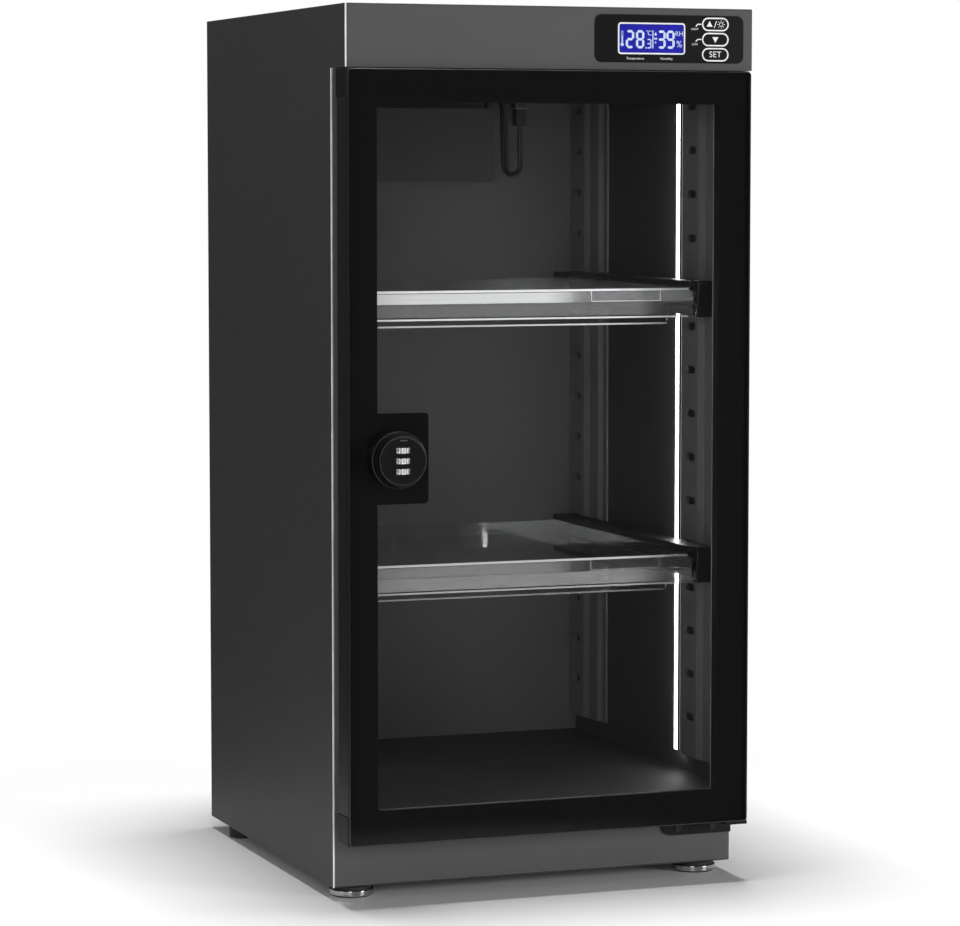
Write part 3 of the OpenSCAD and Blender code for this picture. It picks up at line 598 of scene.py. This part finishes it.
def make_cable_route():
    down_x = cable_exit[0] + 2 * cable_bend
    over = [(cable_exit[0] + cable_bend * (1 - math.cos(math.pi * step / bend_steps)),
             cable_exit[1],
             cable_exit[2] + cable_bend * math.sin(math.pi * step / bend_steps))
            for step in range(bend_steps + 1)]
    fall = [(down_x,
             cable_exit[1] + (cable_end[1] - cable_exit[1]) * step / leg_steps,
             cable_exit[2] + (loop_z - cable_exit[2]) * step / leg_steps)
            for step in range(1, leg_steps)]
    under = [(down_x + cable_bend * (1 - math.cos(math.pi * step / bend_steps)),
              cable_end[1],
              loop_z - cable_bend * math.sin(math.pi * step / bend_steps))
             for step in range(bend_steps + 1)]
    middle_rise = (cable_end[0], cable_end[1], (loop_z + cable_end[2]) / 2)
    return over + fall + under + [middle_rise, cable_end]


cable_route = make_cable_route()


def curve_at(points, index, share):
    """Point of a smooth curve through the route, between two of its points."""
    before, here, there, after = (
        Vector(points[min(max(index + step, 0), len(points) - 1)]) for step in (-1, 0, 1, 2))
    slope = there - before
    bow = 2 * before - 5 * here + 4 * there - after
    twist = 3 * here - before - 3 * there + after
    return 0.5 * (2 * here + slope * share + bow * share ** 2 + twist * share ** 3)


def make_cable():
    points = []
    for index in range(len(cable_route) - 1):
        points += [curve_at(cable_route, index, share) for share in (0, 0.5)]
    points.append(Vector(cable_route[-1]))
    data = bpy.data.curves.new("sensor_cable_run", "CURVE")
    data.dimensions = "3D"
    data.bevel_depth = cable_d / 2
    data.bevel_resolution = cable_roundness
    data.use_fill_caps = True
    spline = data.splines.new("BEZIER")
    spline.bezier_points.add(len(points) - 1)
    for knot, point in zip(spline.bezier_points, points):
        knot.co = point
        knot.handle_left_type = "AUTO"
        knot.handle_right_type = "AUTO"
    cable = bpy.data.objects.new("sensor_cable_run", data)
    scene.collection.objects.link(cable)
    finish_piece(cable, "casing", "cable_sheath", "sensor_cable")


make_cable()


# Flat signs that face the front
sign_depth = 0.00006
across_front = (math.pi / 2, 0, 0)
capital_share = 0.72


def plate(x0, x1, z0, z1, y, corner=0.0, steps=6):
    """A flat plate seen from the front, with round or cut corners."""
    deselect()
    middle_of = ((x0 + x1) / 2, y, (z0 + z1) / 2)
    bpy.ops.mesh.primitive_plane_add(size=1, location=middle_of, rotation=across_front)
    piece = bpy.context.object
    piece.scale = (x1 - x0, z1 - z0, 1)
    settle(piece)
    if corner:
        edit(piece)
        bpy.ops.mesh.bevel(affect="VERTICES", offset=corner, segments=steps)
        bpy.ops.mesh.remove_doubles(threshold=weld)
        leave_edit()
    return piece


def outline(x0, x1, z0, z1, y, corner, line):
    """The line round a plate."""
    piece = plate(x0, x1, z0, z1, y, corner)
    edit(piece)
    bpy.ops.mesh.inset(thickness=line, depth=0)
    bpy.ops.mesh.delete(type="FACE")
    leave_edit()
    return piece


def bar(x, z, width, height, y, stroke_end):
    """A short bar with pointed ends, as in a number made of seven bars."""
    return plate(x - width / 2, x + width / 2, z - height / 2, z + height / 2, y, stroke_end, 1)


def word(text, x, z, height, y, spacing=1.0):
    """Letters whose middle is at x and z."""
    deselect()
    bpy.ops.object.text_add(location=(x, y, z), rotation=across_front)
    piece = bpy.context.object
    piece.data.body = text
    piece.data.size = height / capital_share
    piece.data.space_character = spacing
    piece.data.align_x = "CENTER"
    piece.data.align_y = "CENTER"
    bpy.ops.object.convert(target="MESH")
    return settle(bpy.context.object)


def slanted(piece, angle, x, y, z):
    """Turns a flat piece round a point of it, seen from the front."""
    edit(piece)
    bpy.ops.transform.rotate(value=angle, orient_axis="Y", center_override=(x, y, z))
    leave_edit()
    return piece


def sign(name, parts, body, finish):
    """Joins flat parts into one printed or lit sign with a little thickness."""
    piece = joined(name, parts)
    modify(piece, "SOLIDIFY", thickness=sign_depth, offset=-1)
    piece.data.materials.clear()
    piece.data.materials.append(finish)
    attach(piece, body)
    return piece


bars_of = {"2": "abged", "3": "abgcd", "8": "abcdefg", "9": "abcdfg"}
flat_bar_gap = 1.25
upright_bar_gap = 0.85
bar_point = 0.42


def number(figure, x0, z1, width, height, stroke, y):
    """A figure made of seven bars; x0 and z1 are its left and top edges."""
    mid_x = x0 + width / 2
    mid_z = z1 - height / 2
    reach_x = width / 2 - stroke / 2
    reach_z = height / 2 - stroke / 2
    flat_l = width - stroke * flat_bar_gap
    upright_l = height / 2 - stroke * upright_bar_gap
    spots = {
        "a": (mid_x, mid_z + reach_z, flat_l, stroke), "g": (mid_x, mid_z, flat_l, stroke),
        "d": (mid_x, mid_z - reach_z, flat_l, stroke),
        "f": (mid_x - reach_x, mid_z + reach_z / 2, stroke, upright_l),
        "b": (mid_x + reach_x, mid_z + reach_z / 2, stroke, upright_l),
        "e": (mid_x - reach_x, mid_z - reach_z / 2, stroke, upright_l),
        "c": (mid_x + reach_x, mid_z - reach_z / 2, stroke, upright_l)}
    return [bar(*spots[letter], y, stroke * bar_point) for letter in bars_of[figure]]


def ring_plate(x, z, radius, line, y, steps=24):
    """A flat ring, or a disc where the line is as wide as the radius."""
    deselect()
    bpy.ops.mesh.primitive_circle_add(vertices=steps, radius=radius, fill_type="NGON",
                                      location=(x, y, z), rotation=across_front)
    piece = settle(bpy.context.object)
    if line < radius:
        edit(piece)
        bpy.ops.mesh.inset(thickness=line, depth=0)
        bpy.ops.mesh.delete(type="FACE")
        leave_edit()
    return piece


def arrow(x, z, half, y, up):
    """A triangle that points up or down."""
    deselect()
    turn = 0 if up else math.pi
    bpy.ops.mesh.primitive_circle_add(vertices=3, radius=half, fill_type="NGON",
                                      location=(x, y, z), rotation=(math.pi / 2, turn, 0))
    return settle(bpy.context.object)


# Signs of the display: places across count from the screen's left edge, drops from the top edge of
# the large numbers
frame_line = 0.0011
frame_side = 0.0005
frame_rise = 0.00105
frame_round = 0.0024
digit_drop = 0.0044
digit_w = 0.0066
digit_h = 0.0132
digit_stroke = 0.0018
digit_places = (("2", 0.0058), ("8", 0.0138), ("3", 0.0307), ("9", 0.0378))
small_x = 0.0223
small_w = 0.0037
small_h = 0.0070
small_stroke = 0.0009
point_x = 0.0213
point_w = 0.0010
letter_h = 0.0036
celsius_x = 0.0246
celsius_drop = 0.0022
degree_x = 0.0226
degree_drop = 0.0006
degree_r = 0.0006
degree_line = 0.0002
degree_steps = 12
divider_x = 0.0268
divider_w = 0.0008
divider_round = 0.0003
divider_rounds = 2
humidity_x = 0.0480
humidity_drop = 0.0024
percent_drop = 0.0100
percent_h = 0.0048


def make_frame_line(low, high, y):
    ring = outline(low.x - frame_side, high.x + frame_side, low.z - frame_rise,
                   high.z + frame_rise, y, frame_round, frame_line)
    sign("display_frame_line", [ring], "casing", print_white)


def reading_signs(left, top, y):
    """Temperature at the left and humidity at the right, with a divider between them."""
    foot = top - digit_h
    parts = []
    for figure, x in digit_places:
        parts += number(figure, left + x, top, digit_w, digit_h, digit_stroke, y)
    parts += number("3", left + small_x, foot + small_h, small_w, small_h, small_stroke, y)
    point = left + point_x
    parts.append(plate(point, point + point_w, foot, foot + point_w, y))
    parts.append(word("C", left + celsius_x, top - celsius_drop, letter_h, y))
    parts.append(ring_plate(left + degree_x, top - degree_drop, degree_r, degree_line, y,
                            degree_steps))
    divider = left + divider_x
    parts.append(plate(divider, divider + divider_w, foot, top, y, divider_round, divider_rounds))
    parts.append(word("RH", left + humidity_x, top - humidity_drop, letter_h, y))
    parts.append(word("%", left + humidity_x, top - percent_drop, percent_h, y))
    return parts


tube_x = 0.0030
tube_half_w = 0.0007
tube_drop = 0.0006
tube_foot_drop = 0.0090
tube_round = 0.0006
tube_line = 0.0003
column_half_w = 0.0002
column_drop = 0.0040
column_foot_drop = 0.0100
bulb_drop = 0.0104
bulb_r = 0.0013


def thermometer_signs(left, top, y):
    x = left + tube_x
    tube = outline(x - tube_half_w, x + tube_half_w, top - tube_foot_drop, top - tube_drop, y,
                   tube_round, tube_line)
    column = plate(x - column_half_w, x + column_half_w, top - column_foot_drop,
                   top - column_drop, y)
    return [tube, column, ring_plate(x, top - bulb_drop, bulb_r, bulb_r, y)]


drop_places = ((0.0293, 0.0030, 0.0009), (0.0287, 0.0062, 0.0006),
               (0.0299, 0.0062, 0.0006), (0.0293, 0.0090, 0.0006))
drop_steps = 16


def water_signs(left, top, y):
    """Drops of water, each a disc with a point on it. A place gives x, drop and radius."""
    parts = []
    for x, drop, radius in drop_places:
        parts.append(ring_plate(left + x, top - drop, radius, radius, y, drop_steps))
        parts.append(arrow(left + x, top - drop + radius, radius, y, True))
    return parts


captions = (("Temperature", 0.0130), ("Humidity", 0.0378))
caption_drop = 0.0041
caption_h = 0.0018
wide_spacing = 1.05


def make_display_signs():
    low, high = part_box("display_screen")
    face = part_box("display_bezel")[0].y - sign_depth
    glass = low.y - sign_depth
    digit_top = high.z - digit_drop
    make_frame_line(low, high, face)
    lit = reading_signs(low.x, digit_top, glass)
    lit += thermometer_signs(low.x, digit_top, glass)
    lit += water_signs(low.x, digit_top, glass)
    sign("display_lit_signs", lit, "casing", lit_sign)
    words = [word(caption, low.x + x, low.z - caption_drop, caption_h, face, wide_spacing)
             for caption, x in captions]
    sign("display_words", words, "casing", print_white)


# Signs on the buttons, counted from the middle of each, and the bent lines beside them
key_half_w = 0.0107
key_half_h = 0.00495
key_margin = 0.00005
key_line = 0.0010
key_round_share = 0.99
up_arrow_x = 0.0046
up_arrow_drop = 0.0003
up_arrow_half = 0.0027
slash_half_w = 0.0003
slash_half_h = 0.0026
slash_angle = math.radians(-20)
sun_x = 0.0046
sun_r = 0.0016
sun_line = 0.0004
sun_rays = 8
ray_half_w = 0.0002
ray_from = 0.0021
ray_to = 0.0031
down_arrow_rise = 0.0004
down_arrow_half = 0.0028
set_h = 0.0044
lead_half_w = 0.0004
lead_gap = 0.0004
lead_l = 0.0034
lead_tip = 0.0022
lead_angle = math.radians(50)
lead_word_x = 0.0022
lead_word_drop = 0.0036
lead_word_h = 0.0015


def up_legend(x, z, y):
    """An arrow up, a slash and a small sun."""
    parts = [arrow(x - up_arrow_x, z - up_arrow_drop, up_arrow_half, y, True)]
    slash = plate(x - slash_half_w, x + slash_half_w, z - slash_half_h, z + slash_half_h, y)
    parts.append(slanted(slash, slash_angle, x, y, z))
    parts.append(ring_plate(x + sun_x, z, sun_r, sun_line, y))
    for index in range(sun_rays):
        ray = plate(x + sun_x - ray_half_w, x + sun_x + ray_half_w, z + ray_from, z + ray_to, y)
        parts.append(slanted(ray, index * 2 * math.pi / sun_rays, x + sun_x, y, z))
    return parts


def down_legend(x, z, y):
    return [arrow(x, z + down_arrow_rise, down_arrow_half, y, False)]


def set_legend(x, z, y):
    return [word("SET", x, z, set_h, y, wide_spacing)]


def lead_signs(text, side, z, y):
    """A bent line from a button's left side, and the word at its end."""
    bend = side - lead_l
    flat = plate(bend, side - lead_gap, z - lead_half_w, z + lead_half_w, y)
    tip = plate(bend - lead_tip, bend, z - lead_half_w, z + lead_half_w, y)
    return [flat, slanted(tip, lead_angle, bend, y, z),
            word(text, bend - lead_word_x, z - lead_word_drop, lead_word_h, y)]


key_legends = {
    "up_button": (up_legend, "LIGHT"),
    "down_button": (down_legend, "LOW"),
    "set_button": (set_legend, None),
}


def make_key_signs():
    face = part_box("display_bezel")[0].y - sign_depth
    half_w = key_half_w - key_margin
    half_h = key_half_h - key_margin
    for node, (legend, beside) in key_legends.items():
        low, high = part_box(node)
        x, _, z = (low + high) / 2
        front = low.y - sign_depth
        ring = outline(x - half_w, x + half_w, z - half_h, z + half_h, front,
                       half_h * key_round_share, key_line)
        sign(node + "_signs", [ring] + legend(x, z, front), nodes[node]["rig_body"],
             print_white)
        if beside:
            lead = lead_signs(beside, x - half_w, z, face)
            sign(node + "_lead", lead, "casing", print_white)


make_display_signs()
make_key_signs()


# Number wheels: white cells with dark figures, ten round each wheel
cells = 10
cell_w = 0.0034
cell_h = 0.0038
cell_r = 0.00636
cell_t = 0.00012
cell_round = 0.0004
cell_rounds = 3
figure_h = 0.0027
core_from = 0.003
core_share = 0.945
fine_round = 0.00025
sheet_round = 0.0004
plastic_round = 0.0008


def make_wheel_core(node, axis):
    """The wheel itself, a little smaller than its CAD node to leave room for the cells."""
    piece = merged_copy(node, node + "_core")
    for point in piece.data.vertices:
        arm = Vector((point.co.x - axis.x, point.co.y - axis.y))
        if arm.length > core_from:
            point.co.x = axis.x + arm.x * core_share
            point.co.y = axis.y + arm.y * core_share
    round_edges(piece, fine_round, soft_rounds)
    finish_piece(piece, nodes[node]["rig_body"], "wheel_plastic", node)


def wheel_cell(place, turned):
    """A white cell with round corners."""
    deselect()
    bpy.ops.mesh.primitive_plane_add(size=1, location=place, rotation=turned)
    cell = bpy.context.object
    cell.scale = (cell_w, cell_h, 1)
    settle(cell)
    edit(cell)
    bpy.ops.mesh.bevel(affect="VERTICES", offset=cell_round, segments=cell_rounds)
    leave_edit()
    return cell


def wheel_figure(text, place, turned):
    deselect()
    bpy.ops.object.text_add(location=place, rotation=turned)
    figure = bpy.context.object
    figure.data.body = text
    figure.data.size = figure_h / capital_share
    figure.data.align_x = "CENTER"
    figure.data.align_y = "CENTER"
    bpy.ops.object.convert(target="MESH")
    return settle(bpy.context.object)


def make_wheel_signs(node):
    low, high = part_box(node)
    axis = (low + high) / 2
    body = nodes[node]["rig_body"]
    make_wheel_core(node, axis)
    name = node.replace("_number_wheel", "")
    faces = []
    figures = []
    for index in range(cells):
        angle = index * 2 * math.pi / cells
        out = Vector((math.sin(angle), -math.cos(angle), 0))
        turned = (math.pi / 2, 0, angle)
        faces.append(wheel_cell(axis + out * (cell_r + cell_t), turned))
        place = axis + out * (cell_r + cell_t + sign_depth)
        figures.append(wheel_figure(str(index), place, turned))
    sheet = joined(name + "_wheel_cells", faces)
    modify(sheet, "SOLIDIFY", thickness=cell_t * 2, offset=-1)
    sheet.data.materials.clear()
    sheet.data.materials.append(print_white)
    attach(sheet, body)
    sign(name + "_wheel_figures", figures, body, print_black)


mark_drop = 0.0016
mark_l = 0.0056
mark_t = 0.0008
mark_rounds = 3


def make_knob_mark():
    """A short, lighter line printed near the top of the knob's face, over the number windows."""
    low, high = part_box("knob_face")
    x = (low.x + high.x) / 2
    z = high.z - mark_drop
    line = plate(x - mark_l / 2, x + mark_l / 2, z - mark_t / 2, z + mark_t / 2,
                 low.y - sign_depth, mark_t / 3, mark_rounds)
    sign("knob_mark", [line], "lock_knob", print_dim)


make_knob_mark()
for wheel in ("top_number_wheel", "middle_number_wheel", "bottom_number_wheel"):
    make_wheel_signs(wheel)


# Nodes whose edges are rounded, by the width of the round
rounded_nodes = {
    sheet_round: """left_side_panel right_side_panel top_panel bottom_panel back_panel
        base_front_panel header_panel left_front_jamb right_front_jamb top_front_jamb inner_floor
        inner_ceiling inner_back light_channel rear_cover
        lower_hinge_bracket upper_hinge_bracket lock_cam display_bezel lock_case tray_runners""",
    plastic_round: """humidity_unit cable_plug ceiling_socket rear_feet corner_caps
        left_foot right_foot door_gasket door_stiles door_rails power_inlet knob_body""",
    fine_round: """up_button down_button set_button knob_face light_diffuser foot_nuts
        cam_screw lock_shaft wheel_axle hinge_bushes bracket_screws control_board
        display_screen""",
}
for width, names in rounded_nodes.items():
    for node in names.split():
        softened(node, width)


edge_facing = 0.3
rail_round = 0.0007
fold_angle = math.radians(15)


def front_faces_in(name, material):
    """Gives a piece's faces that look to the front a second finish."""
    piece = bpy.data.objects[name]
    piece.data.materials.append(material)
    for face in piece.data.polygons:
        if face.normal.y < -edge_facing:
            face.material_index = 1


# The rails' shallow folds get rounded faces too, which the rail paint's lift lightens into painted
# highlight lines
for node in ("left_rails", "right_rails"):
    softened(node, rail_round, angle=fold_angle)
# A lighter paint on the side's front edge paints a highlight line along it; the light cover is dark
# in front
front_faces_in("left_side_panel_piece", edge_highlight_paint)
front_faces_in("light_diffuser_piece", finishes["runner_plastic"])
bpy.data.objects["bracket_screws_piece"].data.materials[0] = screw_black
# The inner floor takes the darker copy of the lining paint: painted shade
bpy.data.objects["inner_floor_piece"].data.materials[0] = shaded_floor_lining


glass_chamfer = 0.0004
facing = 0.99
print_bite = 0.00003
tray_round = 0.0006
tray_rounds = 3
ring_round = 0.0005
ring_rounds = 4


def make_door_glass():
    """The glass keeps flat, clear faces and has ground edges."""
    piece = merged_copy("door_glass", "door_glass_pane")
    round_edges(piece, glass_chamfer, 1, flat=True)
    finish_piece(piece, "door", "door_glass", "door_glass")
    piece.data.materials.append(ground_edge)
    for face in piece.data.polygons:
        face.material_index = 0 if abs(face.normal.y) > facing else 1


def make_border_print():
    """The black print reaches a hair into the glass, so that no air shows between them."""
    piece = merged_copy("glass_border", "glass_border_print")
    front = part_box("glass_border")[0].y
    for point in piece.data.vertices:
        if point.co.y < front + weld:
            point.co.y -= print_bite
    finish_piece(piece, "door", "border_print", "glass_border")


make_door_glass()
make_border_print()
for node in ("upper_tray", "lower_tray"):
    softened(node, tray_round, tray_rounds)
for node in ("left_foot_ring", "right_foot_ring"):
    softened(node, ring_round, ring_rounds)
nodes["magnet_strips"].data.materials.clear()
nodes["magnet_strips"].data.materials.append(finishes["magnet"])


# Tray fronts: thin films on the clear plastic, set until their tones came near the photograph's: a
# frosted band, a painted reflection under the rim, and painted highlights on the rim, the lip, the
# pocket's outline and the grip edge. A look gives the end of its name, its grey, where along the
# width it fades and the share that is left. A cover says how much of what lies behind is hidden. A
# zone's heights count down from the rim
film_rough = 0.35
film_uneven = 0.12
film_streaks = (8.0, 8.0, 900.0)
film_looks = {
    "rim": ("rim_highlight", 252, 0.10, 0.12, 0.4),
    "shine": ("bead_reflection", 248, 0.010, 0.049, 0.15),
    "band": ("frosted_band", 190, 0.090, 0.112, 0.4),
    "lip": ("lip_highlight", 252, 0.118, 0.12, 0.4),
    "edge": ("grip_edge", 252, 0.100, 0.12, 0.4),
}
film_covers = {
    "upper": {"rim": 0.9, "shine": 0.70, "band": 0.16, "lip": 0.8, "edge": 0.5},
    "lower": {"rim": 0.4, "shine": 0.12, "band": 0.3, "lip": 0.25, "edge": 0.12},
}
film_zones = {
    "rim": (0.0, 0.0017),
    "shine": (0.0022, 0.0098),
    "band": (0.0100, 0.0196),
    "lip": (0.0206, 0.0219),
}
film_inset = 0.0030
film_lift = 0.00008
film_round = 0.0008
film_round_share = 2.2
film_rounds = 3
line_inset = 0.0066
line_height = 0.0020
grip_side = 0.0215
grip_back = 0.0060
grip_edge = 0.0012
grip_round = 0.0005
pocket_left = 0.0505
pocket_right = 0.1065
pocket_top = 0.0012
pocket_foot = 0.0094
pocket_round = 0.0010
pocket_line = 0.0005


def film(name, colour, cover, fade_from, fade_to, share_left):
    """A thin film that fades out along the width: frosting, a painted highlight or a painted
    reflection.
    """
    made, tree, shader, place = new_material(name)
    across = add(tree, "SeparateXYZ", Vector=place).outputs["X"]
    streak = add(tree, "Mapping", Vector=place, Scale=film_streaks).outputs[0]
    grained = place_group(tree, grain_group, Vector=streak, Color=colour, Roughness=film_rough,
                          Grain=1.0, Uneven=film_uneven)
    wire(tree, shader.inputs["Base Color"], grained["Color"])
    wire(tree, shader.inputs["Roughness"], grained["Roughness"])
    fade = ramp(tree, across, fade_from, fade_to)
    lost = calc(tree, "MULTIPLY", fade, cover * (1 - share_left))
    wire(tree, shader.inputs["Alpha"], calc(tree, "SUBTRACT", cover, lost))
    return made


def zone_finishes(tray):
    """The finish of each zone of one tray's front."""
    return {zone: film(f"{tray}_{ending}", grey(level), film_covers[tray][zone], *fade)
            for zone, (ending, level, *fade) in film_looks.items()}


def make_tray_films(tray):
    low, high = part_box(tray + "_tray")
    body = nodes[tray + "_tray"]["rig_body"]
    top = high.z
    front = low.y - film_lift
    finish_of = zone_finishes(tray)
    for zone, (start, end) in film_zones.items():
        height = end - start
        inset = line_inset if height < line_height else film_inset
        strip = plate(low.x + inset, high.x - inset, top - end, top - start, front,
                      min(film_round, height / film_round_share), film_rounds)
        sign(f"{tray}_tray_{zone}", [strip], body, finish_of[zone])
    # A painted highlight along the grip's bottom edge
    edge = plate(low.x + grip_side, high.x - grip_side, low.z, low.z + grip_edge,
                 front + grip_back, grip_round, film_rounds)
    sign(tray + "_tray_grip_edge", [edge], body, finish_of["edge"])
    # The pocket's outline: a painted highlight line in the lip's finish
    pocket = outline(pocket_left, pocket_right, top - pocket_foot, top - pocket_top,
                     front - film_lift, pocket_round, pocket_line)
    sign(tray + "_tray_pocket", [pocket], body, finish_of["lip"])


for tray in film_covers:
    make_tray_films(tray)


# Floor, lamps and surroundings. The floor is white to the camera away from the cabinet, and dim
# there to rays that come off gloss or through glass
floor_half = 8.0
near_floor = grey(244)
floor_rough = 0.5
floor_gloss = 0.3
white_from = 0.24
white_to = 0.70
dim_from = 0.25
dim_to = 0.5
world_level = 0.12
world_gloss = 0.03
heading_soft = 0.1


def floor_finish():
    made, tree, shader, place = new_material("studio_floor", Roughness=floor_rough,
                                             Specular_IOR_Level=floor_gloss)
    wire(tree, shader.inputs["Base Color"], near_floor)
    spread = add(tree, "VectorMath", Vector=place)
    spread.operation = "LENGTH"
    far = ramp(tree, spread.outputs["Value"], white_from, white_to)
    bright = add(tree, "Emission", Color=white, Strength=1.0)
    path = tree.nodes.new("ShaderNodeLightPath")
    share = calc(tree, "MULTIPLY", far, path.outputs["Is Camera Ray"])
    both = tree.nodes.new("ShaderNodeMixShader")
    wire(tree, both.inputs[0], share)
    wire(tree, both.inputs[1], shader.outputs[0])
    wire(tree, both.inputs[2], bright.outputs[0])
    dark = add(tree, "Emission", Color=white, Strength=world_gloss)
    wide = ramp(tree, spread.outputs["Value"], dim_from, dim_to)
    mirrored = tree.nodes.new("ShaderNodeMixShader")
    indirect = calc(tree, "MAXIMUM", path.outputs["Is Glossy Ray"],
                    path.outputs["Is Transmission Ray"])
    wire(tree, mirrored.inputs[0], calc(tree, "MULTIPLY", wide, indirect))
    wire(tree, mirrored.inputs[1], both.outputs[0])
    wire(tree, mirrored.inputs[2], dark.outputs[0])
    show_surface(tree, mirrored.outputs[0])
    return made


def make_floor():
    deselect()
    bpy.ops.mesh.primitive_plane_add(size=2 * floor_half, location=(0, 0, 0))
    floor = settle(bpy.context.object)
    floor.name = "studio_floor"
    floor.data.materials.append(floor_finish())


def lamp(name, place, width, height, power):
    """A lamp that faces the heart of the cabinet, with its power in watts."""
    data = bpy.data.lights.new(name, "AREA")
    data.shape = "RECTANGLE"
    data.size = width
    data.size_y = height
    data.energy = power
    made = bpy.data.objects.new(name, data)
    made.location = place
    made.rotation_mode = "QUATERNION"
    made.rotation_quaternion = (Vector(heart) - Vector(place)).to_track_quat("-Z", "Y")
    scene.collection.objects.link(made)


heart = (0, 0, 0.33)
make_floor()
lamp("front_lamp", (2.6, -3.3, 0.8), 1.2, 1.2, 76)
lamp("fill_lamp", (-1.6, -3.2, 0.9), 1.0, 1.0, 24)
lamp("left_lamp", (-3.0, -1.2, 1.3), 1.2, 1.4, 9)
lamp("top_lamp", (0.0, 0.0, 2.7), 0.7, 0.7, 80)
lamp("back_lamp", (-1.6, 2.4, 1.8), 0.8, 1.4, 6)


def make_world():
    """White to the camera and to rays that go through glass towards the back, dim to all others."""
    world = bpy.data.worlds.new("studio")
    scene.world = world
    world.use_nodes = True
    tree = world.node_tree
    tree.nodes.clear()
    path = tree.nodes.new("ShaderNodeLightPath")
    level = blend_colours(tree, path.outputs["Is Glossy Ray"],
                          (world_level, world_level, world_level, 1),
                          (world_gloss, world_gloss, world_gloss, 1))
    heading = tree.nodes.new("ShaderNodeTexCoord").outputs["Generated"]
    away = add(tree, "SeparateXYZ", Vector=heading).outputs["Y"]
    behind = ramp(tree, away, -heading_soft, heading_soft)
    through = calc(tree, "MULTIPLY", behind, path.outputs["Is Transmission Ray"])
    seen = calc(tree, "MAXIMUM", path.outputs["Is Camera Ray"], through)
    colour = blend_colours(tree, seen, level, white)
    background = add(tree, "Background", Color=colour, Strength=1.0)
    output = tree.nodes.new("ShaderNodeOutputWorld")
    wire(tree, output.inputs["Surface"], background.outputs[0])


make_world()
